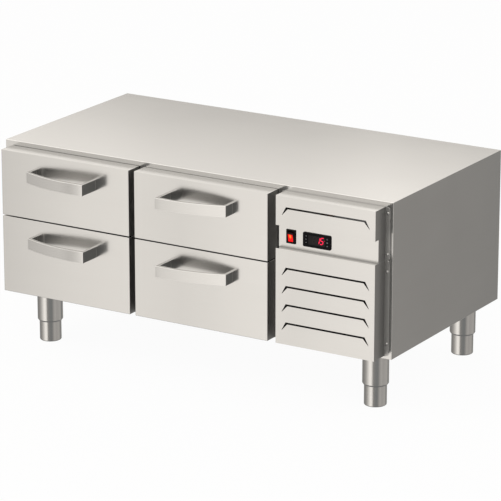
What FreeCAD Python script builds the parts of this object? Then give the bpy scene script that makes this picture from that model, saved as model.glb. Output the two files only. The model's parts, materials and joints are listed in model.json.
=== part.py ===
import FreeCAD, Part

import math
import os
import re

import Sketcher
from FreeCAD import Vector

# Refrigerated drawer base: a low insulated cabinet on four legs, with two columns of
# two drawers on telescopic slides and a ventilated technical compartment on the right.
# Millimetres, +X to the right of the front, +Y to the back, +Z up.
# The origin is on the floor, under the middle of the bounding box.

doc = FreeCAD.newDocument("refrigerated_drawer_base")
sheet = doc.addObject("Spreadsheet::Sheet", "dims")

# Driving dimensions, one spreadsheet row each

DIMENSIONS = [
    ("body_width", 1200, "cabinet, outside width"),
    ("body_depth", 597, "cabinet, front face to back"),
    ("body_height", 419, "cabinet without its legs"),
    ("leg_rise", 151, "floor to the underside of the cabinet"),
    ("front_reach", 53, "drawer fronts stand this far ahead of the cabinet face"),
    ("handle_reach", 65.6, "handles stand this far ahead of the drawer fronts"),
    ("skin", 1, "outer steel sheet"),
    ("top_sheet", 1.5, "worktop sheet"),
    ("liner", 1, "inner steel sheet"),
    ("face_lip", 12, "cabinet face kept around the technical opening"),
    ("edge_gap", 22, "cabinet side to the first drawer front or cover"),
    ("top_gap", 13, "worktop to the upper edge of the fronts"),
    ("bottom_gap", 7, "underside to the lower edge of the fronts"),
    ("drawer_width", 411, "drawer front, width"),
    ("column_gap", 17, "between the two columns of drawers"),
    ("cover_gap", 24.5, "between the drawers and the technical covers"),
    ("row_gap", 3, "between the upper and the lower front"),
    ("upper_front", 182.5, "upper drawer front, height"),
    ("skin_depth", 30, "folded skin of a drawer front, depth over its foam"),
    ("skin_wrap", 21, "folded skin past the foam, around step and gasket"),
    ("front_round", 1.2, "drawer front, soft front edges"),
    ("foam_fit", 0.05, "drawer foam to the skin's folded edges"),
    ("hem_step", 4, "foam step behind the skin, inset"),
    ("hem_depth", 11, "foam step behind the skin, depth"),
    ("plug_inset", 26, "raised middle of the drawer liner, inset"),
    ("plug_depth", 22, "raised middle of the drawer liner, depth"),
    ("seal_inset", 6, "gasket from the edge of the front"),
    ("seal_width", 16, "gasket, width"),
    ("seal_depth", 11.7, "gasket, depth"),
    ("seal_round", 3, "gasket, outer corners"),
    ("opening_inset", 24, "drawer opening from the edge of the front"),
    ("opening_sill", 30, "lowest drawer opening from the edge of the front"),
    ("wall_recess", 2, "cavity wall behind the edge of an opening"),
    ("back_foam", 40, "insulation in the back"),
    ("bulkhead_foam", 46, "insulation beside the technical compartment"),
    ("partition_front", 1, "partition behind the cabinet face"),
    ("partition_back", 3, "partition ahead of the cavity's back"),
    ("slot_margin", 60, "air slots from the cabinet face"),
    ("slot_width", 10, "air slots, width"),
    ("slot_height", 80, "air slots, height"),
    ("slot_span", 270, "first to last air slot"),
    ("slide_length", 535, "telescopic slide, closed"),
    ("slide_thick", 12.7, "telescopic slide, thickness"),
    ("slide_height", 45, "telescopic slide, height"),
    ("slide_wall", 1.2, "telescopic slide, sheet"),
    ("slide_start", 4, "telescopic slide behind the drawer's plug"),
    ("fixed_lip", 9, "cabinet member of a slide, lips from the wall"),
    ("middle_web", 3, "middle member of a slide, web from the wall"),
    ("middle_lip", 11.5, "middle member of a slide, lips from the wall"),
    ("middle_half", 19.5, "middle member of a slide, half height"),
    ("drawer_lip", 5.5, "drawer member of a slide, lips from the wall"),
    ("drawer_half", 14, "drawer member of a slide, half height"),
    ("slide_drop", 30, "slide centre under the pan ledge"),
    ("ledge_drop", 8, "pan ledge under the top of its opening"),
    ("frame_length", 534, "drawer frame, length"),
    ("frame_skirt", 55, "drawer frame, height"),
    ("frame_wall", 1.5, "drawer frame, sheet"),
    ("pan_width", 306, "window for a pan, width"),
    ("pan_length", 510, "window for a pan, length"),
    ("handle_width", 200, "handle, width"),
    ("handle_height", 30.5, "handle, height of the bar"),
    ("handle_thick", 9, "handle, thickness of the bar"),
    ("handle_short", 34, "handle, its shorter leg"),
    ("handle_long", 64, "handle, its longer leg"),
    ("handle_bulge", 12, "handle, crown of the bar over its chord"),
    ("long_bend", 1.5, "handle, inner bend at the longer leg"),
    ("short_bend", 2.5, "handle, inner bend at the shorter leg"),
    ("handle_drop", 41, "handle under the upper edge of its front"),
    ("flange_width", 14, "fixing flange of a technical cover"),
    ("flange_round", 10, "rounded corner of a fixing flange"),
    ("upper_screw", 17, "upper cover's first screw from its upper edge"),
    ("strip_screw", 16, "upper cover's second screw from its lower edge"),
    ("ledge_screw", 30, "lower cover's first screw from its upper edge"),
    ("bottom_screw", 34, "lower cover's second screw from its lower edge"),
    ("strip_depth", 17, "control strip behind the cover face"),
    ("strip_drop", 79.5, "cover face above the control strip"),
    ("strip_height", 62, "control strip, height"),
    ("louvre_left", 30, "louvre, left end of its top cut from the cover's edge"),
    ("louvre_right", 28, "louvre, right end of its top cut from the cover's edge"),
    ("louvre_splay", 12, "louvre, outward run of its legs"),
    ("louvre_leg", 22, "louvre, height of its legs"),
    ("louvre_cut", 5, "louvre, width of the cut"),
    ("louvre_tip", 1.2, "louvre, width of the cut at the foot of its legs"),
    ("upper_louvre", 28.1, "upper cover, edge to its louvre"),
    ("lower_louvre", 48.3, "lower cover, edge to its first louvre"),
    ("louvre_pitch", 49.5, "lower cover, between louvres"),
    ("screw_head", 8, "cover screw, diameter of the head"),
    ("head_rise", 2.6, "cover screw, height of the head"),
    ("screw_length", 11, "cover screw, length under the head"),
    ("screw_hole", 4, "cover screw, hole"),
    ("screw_shank", 3.8, "cover screw, shank"),
    ("switch_width", 28.3, "power switch, bezel width"),
    ("switch_height", 37.6, "power switch, bezel height"),
    ("switch_left", 22.1, "power switch from the cover's left edge"),
    ("rocker_width", 17, "power switch, width of the rocker"),
    ("rocker_height", 29, "power switch, height of the rocker well"),
    ("rocker_pivot", 3, "power switch, pivot behind the strip"),
    ("rocker_tip", 13.5, "power switch, tip of the rocker in degrees"),
    ("rocker_fit", 0.4, "power switch, gap beside the rocker"),
    ("switch_wall", 2.4, "power switch, case around the rocker"),
    ("switch_case", 24, "power switch, case behind the strip"),
    ("bezel_rise", 2, "power switch, bezel ahead of the strip"),
    ("well_depth", 14, "power switch, rocker well behind the strip"),
    ("cut_fit", 0.3, "cut-outs in the strip around the cases"),
    ("control_width", 82.6, "controller, bezel width"),
    ("control_height", 38.5, "controller, bezel height"),
    ("control_left", 72.3, "controller from the cover's left edge"),
    ("control_lift", 0.8, "controls above the middle of the strip"),
    ("control_thick", 3, "controller, bezel thickness"),
    ("control_round", 4, "controller, bezel corners"),
    ("case_width", 70, "controller, case behind the strip, width"),
    ("case_height", 28, "controller, case behind the strip, height"),
    ("case_depth", 55, "controller, case behind the strip, depth"),
    ("window_width", 50, "controller, display window width"),
    ("window_height", 26, "controller, display window height"),
    ("window_thick", 1.5, "controller, display window thickness"),
    ("window_shift", 1, "controller, display window left of the middle"),
    ("key_width", 6.5, "controller key, width"),
    ("key_height", 6, "controller key, height"),
    ("key_pitch", 9.3, "controller keys, spacing"),
    ("key_margin", 10, "controller keys from the bezel's right edge"),
    ("key_fit", 0.3, "gap around a controller key"),
    ("key_proud", 0.5, "controller key ahead of the bezel"),
    ("key_depth", 1.2, "controller key behind the bezel's face"),
    ("key_well", 2.4, "well of a controller key"),
    ("leg_left", 96, "left legs from the cabinet's left side"),
    ("leg_right", 77, "right legs from the cabinet's right side"),
    ("leg_front", 57, "front legs from the cabinet face"),
    ("leg_back", 54, "rear legs from the back"),
    ("socket_radius", 35, "upper leg tube, outside radius"),
    ("socket_wall", 3, "upper leg tube, wall"),
    ("socket_plate", 4, "upper leg tube, top plate"),
    ("mouth_bevel", 4, "upper leg tube, bevel of the mouth"),
    ("mouth_wall", 0.4, "upper leg tube, wall left at the mouth"),
    ("bush_length", 60, "bush of the adjusting spindle, length"),
    ("bush_wall", 6, "bush of the adjusting spindle, wall"),
    ("thread_fit", 0.06, "adjusting spindle in its bush"),
    ("foot_radius", 30, "adjustable foot, outside radius"),
    ("foot_wall", 2.5, "adjustable foot, wall"),
    ("foot_round", 3, "adjustable foot, rounded lower edge"),
    ("foot_floor", 4, "adjustable foot, closed bottom"),
    ("foot_overlap", 5, "adjustable foot inside its socket when fully out"),
    ("foot_show", 57, "adjustable foot, visible height"),
    ("foot_travel", 40, "adjustable foot, how far it screws out"),
    ("spindle_radius", 8, "adjusting spindle, radius"),
    ("spindle_gap", 6, "adjusting spindle under the cabinet"),
    ("condenser_width", 250, "condenser coil, width"),
    ("condenser_height", 230, "condenser coil, height"),
    ("coil_thick", 44, "condenser and evaporator coil, thickness"),
    ("end_plate", 2, "coils, end plates and their margin"),
    ("plate_rise", 6, "coils, end plates past the fins"),
    ("bend_half", 12, "coils, half width of a return bend"),
    ("bend_reach", 8, "coils, return bends past the end plates"),
    ("condenser_fan", 98, "condenser fan, blade radius"),
    ("shroud_gap", 6, "condenser fan, blades to shroud"),
    ("shroud_depth", 34, "condenser fan, depth of the shroud"),
    ("condenser_hub", 26, "condenser fan, hub radius"),
    ("fan_depth", 24, "both fans, depth of the hub"),
    ("motor_radius", 34, "condenser fan motor, radius"),
    ("motor_front", 44, "condenser fan motor from the shroud's front"),
    ("motor_back", 100, "condenser fan motor, rear end from the shroud's front"),
    ("compressor_radius", 82, "compressor shell, radius"),
    ("compressor_height", 176, "compressor shell, height"),
    ("shell_wall", 14, "compressor shell, thickness that stands for its works"),
    ("grommet", 10, "compressor, rubber feet, height"),
    ("plate_half", 100, "compressor foot plate, half width"),
    ("plate_thick", 3, "compressor foot plate, thickness"),
    ("evaporator_fan", 49, "evaporator fan, blade radius"),
    ("fan_margin", 3, "evaporator fan, blades to ring"),
    ("evaporator_hub", 19, "evaporator fan, hub radius"),
    ("evaporator_length", 320, "evaporator coil, length"),
    ("evaporator_height", 150, "evaporator coil, height"),
    ("tray_length", 200, "condensate tray, length"),
    ("tray_width", 92, "condensate tray, width"),
    ("tray_height", 38, "condensate tray, height"),
    ("tray_wall", 1.5, "condensate tray, wall"),
    ("tray_round", 8, "condensate tray, corners"),
    ("pipe_radius", 4, "refrigerant pipe, outside radius"),
    ("drier_length", 90, "filter drier in the liquid line, length"),
    ("gland_bore", 5.5, "cord gland, bore radius"),
    ("gland_neck", 8, "cord gland, neck radius"),
    ("gland_flange", 12, "cord gland, flange radius"),
    ("gland_drop", 16, "cord gland under the cabinet"),
    ("gland_rise", 6, "cord gland above the floor sheet"),
    ("grille_margin", 50, "air grille from the technical compartment's sides"),
    ("grille_low", 90, "air grille above the underside"),
    ("grille_slot", 8, "air grille, slot width"),
    ("grille_span", 220, "air grille, first to last slot"),
]

for row, (alias, value, note) in enumerate(DIMENSIONS, start=1):
    sheet.set(f"A{row}", note)
    sheet.set(f"B{row}", str(value))
    sheet.setAlias(f"B{row}", alias)
doc.recompute()

ALIASES = {alias for alias, _, _ in DIMENSIONS}

# Places worked out from the driving dimensions

PLACES = {
    "face_y": "(handle_reach + front_reach - body_depth) / 2",
    "back_y": "(handle_reach + front_reach + body_depth) / 2",
    "front_y": "face_y - front_reach",
    "skin_y": "front_y + skin_depth",
    "hem_y": "skin_y + hem_depth",
    "plug_y": "hem_y + plug_depth",
    "inside_y": "face_y + skin",
    "base_z": "leg_rise",
    "top_z": "leg_rise + body_height",
    "lid_z": "top_z - top_sheet",
    "frame_top_z": "top_z - top_gap + skin",
    "low_z": "base_z + bottom_gap",
    "high_z": "top_z - top_gap",
    "upper_z": "high_z - upper_front",
    "seam_z": "upper_z - row_gap",
    "lower_front": "seam_z - low_z",
    "side_x": "body_width / 2",
    "left_column": "edge_gap + drawer_width / 2 - side_x",
    "right_column": "left_column + drawer_width + column_gap",
    "cover_x0": "right_column + drawer_width / 2 + cover_gap",
    "cover_x1": "side_x - edge_gap",
    "opening_half": "drawer_width / 2 - opening_inset",
    "cavity_half": "opening_half + wall_recess",
    "cavity_x0": "left_column - cavity_half",
    "cavity_x1": "right_column + cavity_half",
    "cavity_z0": "low_z + opening_sill - wall_recess",
    "cavity_z1": "high_z - opening_inset + wall_recess",
    "cavity_y1": "back_y - skin - back_foam",
    "partition_x0": "left_column + cavity_half",
    "partition_x1": "right_column - cavity_half",
    "bulkhead_x": "cavity_x1 + liner + bulkhead_foam",
    "strip_y": "front_y + strip_depth",
    "strip_z1": "high_z - strip_drop",
    "strip_z0": "strip_z1 - strip_height",
    "upper_ledge": "high_z - opening_inset - ledge_drop",
    "lower_ledge": "seam_z - opening_inset - ledge_drop",
    "frame_half": "cavity_half - slide_thick",
    "frame_y1": "plug_y + frame_length",
    "slide_y0": "plug_y + slide_start",
    "slide_y1": "slide_y0 + slide_length",
    "switch_x": "cover_x0 + switch_left + switch_width / 2",
    "control_x": "cover_x0 + control_left + control_width / 2",
    "control_z": "(strip_z0 + strip_z1) / 2 + control_lift",
    "condenser_x": "(bulkhead_x + side_x) / 2",
    "condenser_y": "face_y + 4 + coil_thick / 2",
    "condenser_z": "base_z + 24",
    "fan_z": "condenser_z + condenser_height / 2",
    "partition_x": "(partition_x0 + partition_x1) / 2",
    "fan_level": "(upper_ledge + lower_ledge - slide_height + 5) / 2",
    "fan_y": "cavity_y1 - 78",
    "key_x": "control_width / 2 - key_margin",
    "compressor_x": "condenser_x + 6",
    "compressor_y": "(face_y + back_y) / 2 + 12",
    "gland_x": "side_x - 60",
    "gland_y": "back_y - 130",
}


def formula(text):
    """Write a formula with places and aliases out as an expression on the sheet."""
    def word(match):
        name = match.group(0)
        if name in PLACES:
            return "(" + formula(PLACES[name]) + ")"
        if name in ALIASES:
            return "dims." + name
        return name
    return re.sub(r"[A-Za-z_]\w*", word, str(text))


def number(text):
    """The present value of a formula."""
    return float(sheet.evalExpression(formula(text)))


def bind(item, prop, text):
    """Tie a property to the sheet."""
    item.setExpression(prop, formula(text))


def place(item, x="0", y="0", z="0"):
    """Tie an object's position to the sheet."""
    for axis, text in zip("xyz", (x, y, z)):
        bind(item, f"Placement.Base.{axis}", text)


# Outlines: lists of corner formulas, where a third word "via" marks a point
# that the edge between its neighbours bends through

CORNER = 1 - math.sqrt(0.5)


def rectangle(u0, u1, v0, v1):
    return [(u0, v0), (u1, v0), (u1, v1), (u0, v1)]


def rounded(u0, u1, v0, v1, radius):
    near = f"({radius}) * {CORNER:.6f}"
    points = []
    for u, v, su, sv, first in ((u0, v0, 1, 1, "v"), (u1, v0, -1, 1, "u"),
                                (u1, v1, -1, -1, "v"), (u0, v1, 1, -1, "u")):
        along_u = (f"({u}) + {su} * ({radius})", v)
        along_v = (u, f"({v}) + {sv} * ({radius})")
        middle = (f"({u}) + {su} * {near}", f"({v}) + {sv} * {near}", "via")
        if first == "v":
            points += [along_v, middle, along_u]
        else:
            points += [along_u, middle, along_v]
    return points


def circle(u, v, radius):
    return ("circle", u, v, radius)


def pin_down(sketch, geometry, vertex, u, v):
    """Hold one sketch vertex at a formula position."""
    for kind, text in (("DistanceX", u), ("DistanceY", v)):
        index = sketch.addConstraint(
            Sketcher.Constraint(kind, -1, 1, geometry, vertex, number(text)))
        bind(sketch, f"Constraints[{index}]", text)


def draw_circle(sketch, u, v, radius):
    centre = Vector(number(u), number(v), 0)
    ring = sketch.addGeometry(Part.Circle(centre, Vector(0, 0, 1), number(radius)))
    pin_down(sketch, ring, 3, u, v)
    index = sketch.addConstraint(Sketcher.Constraint("Radius", ring, number(radius)))
    bind(sketch, f"Constraints[{index}]", radius)


def draw_outline(sketch, points):
    corners = [point for point in points if len(point) == 2]
    bends = {}
    count = -1
    for point in points:
        if len(point) == 2:
            count += 1
        else:
            bends[count] = point
    spots = [Vector(number(u), number(v), 0) for u, v in corners]
    edges = []
    for i, start in enumerate(spots):
        end = spots[(i + 1) % len(spots)]
        if i in bends:
            middle = Vector(number(bends[i][0]), number(bends[i][1]), 0)
            edge = sketch.addGeometry(Part.Arc(start, middle, end))
            turns_left = (middle - start).cross(end - middle).z > 0
            marker = sketch.addGeometry(Part.Point(middle), True)
            pin_down(sketch, marker, 1, bends[i][0], bends[i][1])
            sketch.addConstraint(Sketcher.Constraint("PointOnObject", marker, 1, edge))
            edges.append((edge, 1, 2) if turns_left else (edge, 2, 1))
        else:
            edge = sketch.addGeometry(Part.LineSegment(start, end))
            edges.append((edge, 1, 2))
    for i, (edge, first, last) in enumerate(edges):
        following = edges[(i + 1) % len(edges)]
        sketch.addConstraint(
            Sketcher.Constraint("Coincident", edge, last, following[0], following[1]))
        pin_down(sketch, edge, first, *corners[i])


class Piece:
    """A PartDesign body whose features are given by plane, span and outline."""

    def __init__(self, label, x="0", y="0", z="0"):
        self.body = doc.addObject("PartDesign::Body", label)
        self.body.Label = label
        place(self.body, x, y, z)
        self.label = label
        self.count = 0

    def name(self, kind):
        self.count += 1
        return f"{self.label}_{kind}{self.count}"

    def plane(self, role):
        return next(f for f in self.body.Origin.OriginFeatures if f.Role == role)

    def sketch(self, plane, level, outlines):
        sketch = self.body.newObject("Sketcher::SketchObject", self.name("sketch"))
        sketch.AttachmentSupport = (self.plane(plane + "_Plane"), "")
        sketch.MapMode = "FlatFace"
        side = "-1 * " if plane == "XZ" else ""
        bind(sketch, "AttachmentOffset.Base.z", f"{side}({level})")
        for outline in outlines:
            if outline[0] == "circle":
                draw_circle(sketch, *outline[1:])
            else:
                draw_outline(sketch, outline)
        return sketch

    def extrude(self, kind, plane, level, low, high, outlines):
        feature = self.body.newObject("PartDesign::" + kind, self.name(kind.lower()))
        feature.Profile = self.sketch(plane, level, outlines)
        bind(feature, "Length", f"({high}) - ({low})")
        return feature

    def pad(self, plane, low, high, *outlines):
        """Material between two levels along the plane's axis."""
        return self.extrude("Pad", plane, high if plane == "XZ" else low, low, high, outlines)

    def pocket(self, plane, low, high, *outlines):
        """Remove material between two levels along the plane's axis."""
        return self.extrude("Pocket", plane, low if plane == "XZ" else high, low, high, outlines)

    def revolve(self, plane, axis, *outlines):
        feature = self.body.newObject("PartDesign::Revolution", self.name("revolution"))
        feature.Profile = self.sketch(plane, "0", outlines)
        feature.ReferenceAxis = (feature.Profile[0], [axis])
        feature.Angle = 360
        return feature

    def row(self, feature, axis, span, times, backwards=False):
        """Repeat a feature along an axis of its own sketch."""
        pattern = self.body.newObject("PartDesign::LinearPattern", self.name("row"))
        pattern.Originals = [feature]
        pattern.Direction = (feature.Profile[0], [axis])
        bind(pattern, "Length", span)
        pattern.Occurrences = times
        pattern.Reversed = backwards
        self.body.Tip = pattern

    def ring(self, feature, axis, times):
        """Repeat a feature around one of the body's own axes."""
        pattern = self.body.newObject("PartDesign::PolarPattern", self.name("ring"))
        pattern.Originals = [feature]
        pattern.Axis = (self.plane(axis + "_Axis"), [""])
        pattern.Angle = 360
        pattern.Occurrences = times
        self.body.Tip = pattern

    def soften(self, kind, size, wanted):
        """Fillet or chamfer the edges of the present shape that a test picks."""
        doc.recompute()
        base = self.body.Tip
        edges = [f"Edge{i}" for i, edge in enumerate(base.Shape.Edges, start=1) if wanted(edge)]
        feature = self.body.newObject("PartDesign::" + kind, self.name(kind.lower()))
        feature.Base = (base, edges)
        bind(feature, "Radius" if kind == "Fillet" else "Size", size)
        return feature


NODES = []


def keep(item):
    """List an object as a sub-part that gets its own file."""
    NODES.append(item)


def box(name, x0, x1, y0, y1, z0, z1):
    """A plain block between formula planes."""
    item = doc.addObject("Part::Box", name)
    bind(item, "Length", f"({x1}) - ({x0})")
    bind(item, "Width", f"({y1}) - ({y0})")
    bind(item, "Height", f"({z1}) - ({z0})")
    place(item, x0, y0, z0)
    return item


def group(label, items):
    """Identical pieces that share one node as separate solids."""
    item = doc.addObject("Part::Compound", label)
    item.Links = items
    keep(item)


# Outer casing

def top_panel():
    piece = Piece("top_panel")
    piece.pad("XY", "lid_z", "top_z", rectangle("-side_x", "side_x", "face_y", "back_y"))
    piece.pad("XY", "frame_top_z", "lid_z",
              rectangle("skin - side_x", "side_x - skin", "face_y", "inside_y"))
    keep(piece.body)


def side_panel(label, side):
    """A side sheet whose front edge is folded in to form the cabinet's face."""
    piece = Piece(label)
    outer, inner, lip = f"{side} * side_x", f"{side} * (side_x - skin)", f"{side} * cover_x1"
    piece.pad("XY", "base_z", "lid_z", rectangle(outer, inner, "face_y", "back_y"))
    piece.pad("XY", "base_z", "frame_top_z", rectangle(inner, lip, "face_y", "inside_y"))
    if side > 0:
        holes = [circle("cover_x1 + flange_width / 2", z, "screw_hole / 2") for z in SCREW_HEIGHTS]
        piece.pocket("XZ", "face_y", "inside_y", *holes)
    keep(piece.body)


def back_panel():
    """The back sheet, with an air grille behind the technical compartment."""
    piece = Piece("back_panel")
    piece.pad("XZ", "back_y - skin", "back_y",
              rectangle("skin - side_x", "side_x - skin", "base_z", "lid_z"))
    low = "base_z + grille_low"
    slot = piece.pocket("XZ", "back_y - skin", "back_y",
                        rounded("bulkhead_x + grille_margin", "side_x - grille_margin",
                                low, f"{low} + grille_slot", "grille_slot * 0.49"))
    piece.row(slot, "V_Axis", "grille_span", 12)
    keep(piece.body)


def bottom_panel():
    piece = Piece("bottom_panel")
    piece.pad("XY", "base_z", "base_z + skin",
              rectangle("skin - side_x", "side_x - skin", "inside_y", "back_y - skin"))
    piece.pocket("XY", "base_z", "base_z + skin", circle("gland_x", "gland_y", "gland_neck + 0.2"))
    keep(piece.body)


SCREW_HEIGHTS = ["high_z - upper_screw", "strip_z0 + strip_screw", "strip_z0 - ledge_screw",
                 "low_z + bottom_screw"]


def front_frame():
    """The face sheet with four drawer openings and the technical opening."""
    piece = Piece("front_frame")
    openings = [rectangle("bulkhead_x + face_lip", "cover_x1 - face_lip",
                          "low_z + face_lip", "high_z - face_lip")]
    for column in ("left_column", "right_column"):
        for low, high in (("upper_z + opening_inset", "high_z - opening_inset"),
                          ("low_z + opening_sill", "seam_z - opening_inset")):
            openings.append(rectangle(f"{column} - opening_half", f"{column} + opening_half", low, high))
    holes = [circle("cover_x0 - flange_width / 2", z, "screw_hole / 2") for z in SCREW_HEIGHTS]
    piece.pad("XZ", "face_y", "inside_y",
              rectangle("-cover_x1", "cover_x1", "base_z", "frame_top_z"), *openings, *holes)
    keep(piece.body)


def bulkhead_panel():
    piece = Piece("bulkhead_panel")
    piece.pad("YZ", "bulkhead_x", "bulkhead_x + skin",
              rectangle("inside_y", "back_y - skin", "base_z + skin", "lid_z"))
    keep(piece.body)


# Insulated cavity

def cabinet_insulation():
    block = box("insulation_block", "skin - side_x", "bulkhead_x", "inside_y", "back_y - skin",
                "base_z + skin", "lid_z")
    hollow = box("insulation_hollow", "cavity_x0 - liner", "cavity_x1 + liner",
                 "inside_y", "cavity_y1 + liner", "cavity_z0 - liner", "cavity_z1 + liner")
    foam = doc.addObject("Part::Cut", "cabinet_insulation")
    foam.Base = block
    foam.Tool = hollow
    keep(foam)


def inner_liner():
    piece = Piece("inner_liner")
    piece.pad("XY", "cavity_z0 - liner", "cavity_z1 + liner",
              rectangle("cavity_x0 - liner", "cavity_x1 + liner", "inside_y", "cavity_y1 + liner"))
    piece.pocket("XZ", "inside_y", "cavity_y1",
                 rectangle("cavity_x0", "cavity_x1", "cavity_z0", "cavity_z1"))
    keep(piece.body)


def evaporator_housing():
    """The hollow partition between the columns, with air slots through both cheeks."""
    piece = Piece("evaporator_housing")
    front, back = "inside_y + partition_front", "cavity_y1 - partition_back"
    piece.pad("XY", "cavity_z0", "cavity_z1",
              rectangle("partition_x0", "partition_x1", front, back),
              rectangle("partition_x0 + skin", "partition_x1 - skin", f"{front} + skin", f"{back} - skin"))
    piece.pocket("YZ", "partition_x0", "partition_x1",
                 circle("fan_y", "fan_level", "evaporator_fan + fan_margin"))
    slot_y = "inside_y + slot_margin"
    slot = piece.pocket("YZ", "partition_x0", "partition_x1",
                        rounded(slot_y, f"{slot_y} + slot_width", "fan_level - slot_height / 2",
                                "fan_level + slot_height / 2", "slot_width * 0.49"))
    piece.row(slot, "H_Axis", "slot_span", 14)
    keep(piece.body)


# Technical covers

def louvre(top):
    """A cut along three sides of a flap that stays hinged at its lower edge."""
    left, right = "cover_x0 + louvre_left", "cover_x1 - louvre_right"
    foot = f"{top} - louvre_leg"
    edge = f"{top} - louvre_cut"
    return [(f"{left} - louvre_splay", foot), (left, top), (right, top),
            (f"{right} + louvre_splay", foot), (f"{right} + louvre_splay - louvre_tip", foot),
            (f"{right} - louvre_cut", edge), (f"{left} + louvre_cut", edge),
            (f"{left} - louvre_splay + louvre_tip", foot)]


def cover_flanges(piece, low, high, heights):
    """Two flanges that lie on the cabinet's face, each with its screw holes."""
    for outer, inner in (("cover_x0 - flange_width", "cover_x0 + skin"),
                         ("cover_x1 + flange_width", "cover_x1 - skin")):
        sign = 1 if outer.startswith("cover_x0") else -1
        near = f"flange_round * {CORNER:.6f}"
        outline = [
            (inner, low), (f"{outer} + {sign} * flange_round", low),
            (f"{outer} + {sign} * {near}", f"{low} + {near}", "via"),
            (outer, f"{low} + flange_round"), (outer, f"{high} - flange_round"),
            (f"{outer} + {sign} * {near}", f"{high} - {near}", "via"),
            (f"{outer} + {sign} * flange_round", high), (inner, high)]
        middle = f"({outer} + {inner} - {sign} * skin) / 2"
        holes = [circle(middle, z, "screw_hole / 2") for z in heights]
        piece.pad("XZ", "face_y - skin", "face_y", outline, *holes)


SWITCH_CASE = ("(rocker_width / 2 + switch_wall)", "(rocker_height / 2 + switch_wall)")


def upper_cover():
    """One folded sheet: louvred face, ledge and recessed control strip."""
    piece = Piece("upper_cover")
    piece.pad("YZ", "cover_x0", "cover_x1",
              [("face_y", "high_z"), ("front_y", "high_z"), ("front_y", "strip_z1"),
               ("strip_y", "strip_z1"), ("strip_y", "strip_z0"), ("face_y", "strip_z0")])
    piece.pocket("YZ", "cover_x0 + skin", "cover_x1 - skin",
                 [("face_y", "high_z - skin"), ("front_y + skin", "high_z - skin"),
                  ("front_y + skin", "strip_z1 + skin"), ("strip_y + skin", "strip_z1 + skin"),
                  ("strip_y + skin", "strip_z0"), ("face_y", "strip_z0")])
    cover_flanges(piece, "strip_z0", "high_z", SCREW_HEIGHTS[:2])
    piece.pocket("XZ", "front_y", "front_y + skin", louvre("high_z - upper_louvre"))
    cut_outs = []
    for x, wide, high in (("switch_x", SWITCH_CASE[0], SWITCH_CASE[1]),
                          ("control_x", "case_width / 2", "case_height / 2")):
        cut_outs.append(rectangle(f"{x} - {wide} - cut_fit", f"{x} + {wide} + cut_fit",
                                  f"control_z - {high} - cut_fit", f"control_z + {high} + cut_fit"))
    piece.pocket("XZ", "strip_y", "strip_y + skin", *cut_outs)
    keep(piece.body)


def lower_cover():
    """The lower sheet, with its ledge under the control strip and four louvres."""
    piece = Piece("lower_cover")
    piece.pad("XY", "low_z", "strip_z0", rectangle("cover_x0", "cover_x1", "front_y", "face_y"))
    piece.pocket("XZ", "front_y + skin", "face_y",
                 rectangle("cover_x0 + skin", "cover_x1 - skin", "low_z + skin", "strip_z0 - skin"))
    cover_flanges(piece, "low_z", "strip_z0", SCREW_HEIGHTS[2:])
    cut = piece.pocket("XZ", "front_y", "front_y + skin", louvre("strip_z0 - lower_louvre"))
    piece.row(cut, "V_Axis", "3 * louvre_pitch", 4, backwards=True)
    keep(piece.body)


def cover_screws():
    screws = []
    for x in ("cover_x0 - flange_width / 2", "cover_x1 + flange_width / 2"):
        for z in SCREW_HEIGHTS:
            screw = Piece(f"screw_{len(screws) + 1}", x, "face_y - skin", z)
            screw.revolve("YZ", "H_Axis", [
                ("-head_rise", "0"), ("-head_rise", "screw_head / 4"),
                ("-head_rise * 0.73", "screw_head * 0.4", "via"),
                ("0", "screw_head / 2"), ("0", "screw_shank / 2"),
                ("screw_length - screw_shank / 2", "screw_shank / 2"), ("screw_length", "0")])
            screws.append(screw.body)
    group("cover_screws", screws)


# Controls on the recessed strip

def switch_housing():
    """Bezel ahead of the strip, case behind it, and the open well of the rocker."""
    piece = Piece("switch_housing", "switch_x", "strip_y", "control_z")
    piece.pad("XZ", "-bezel_rise", "0",
              rounded("-switch_width / 2", "switch_width / 2",
                      "-switch_height / 2", "switch_height / 2", "2"))
    wide, high = SWITCH_CASE
    piece.pad("XZ", "0", "switch_case", rectangle(f"-{wide}", wide, f"-{high}", high))
    piece.pocket("XZ", "-bezel_rise", "well_depth",
                 rectangle("-rocker_width / 2 - rocker_fit", "rocker_width / 2 + rocker_fit",
                           "-rocker_height / 2", "rocker_height / 2"))
    keep(piece.body)


def switch_rocker():
    """A rocker with a dished front, resting tipped with its lower half pressed in."""
    piece = Piece("switch_rocker", "switch_x", "strip_y + rocker_pivot", "control_z")

    def tipped(y, z, *mark):
        turned_y = f"({y}) * cos(rocker_tip) - ({z}) * sin(rocker_tip)"
        turned_z = f"({y}) * sin(rocker_tip) + ({z}) * cos(rocker_tip)"
        return (turned_y, turned_z, *mark)
    reach = "(rocker_height / 2 - 2)"
    piece.pad("YZ", "-rocker_width / 2", "rocker_width / 2",
              [tipped("-6.9", f"-{reach}"), tipped("-5.4", "0", "via"), tipped("-6.9", reach),
               tipped("2", "10"), tipped("6", "3"), tipped("7", "0", "via"),
               tipped("6", "-3"), tipped("2", "-10")])
    keep(piece.body)


WINDOW = rectangle("-window_width / 2 - window_shift", "window_width / 2 - window_shift",
                   "-window_height / 2", "window_height / 2")


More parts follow.
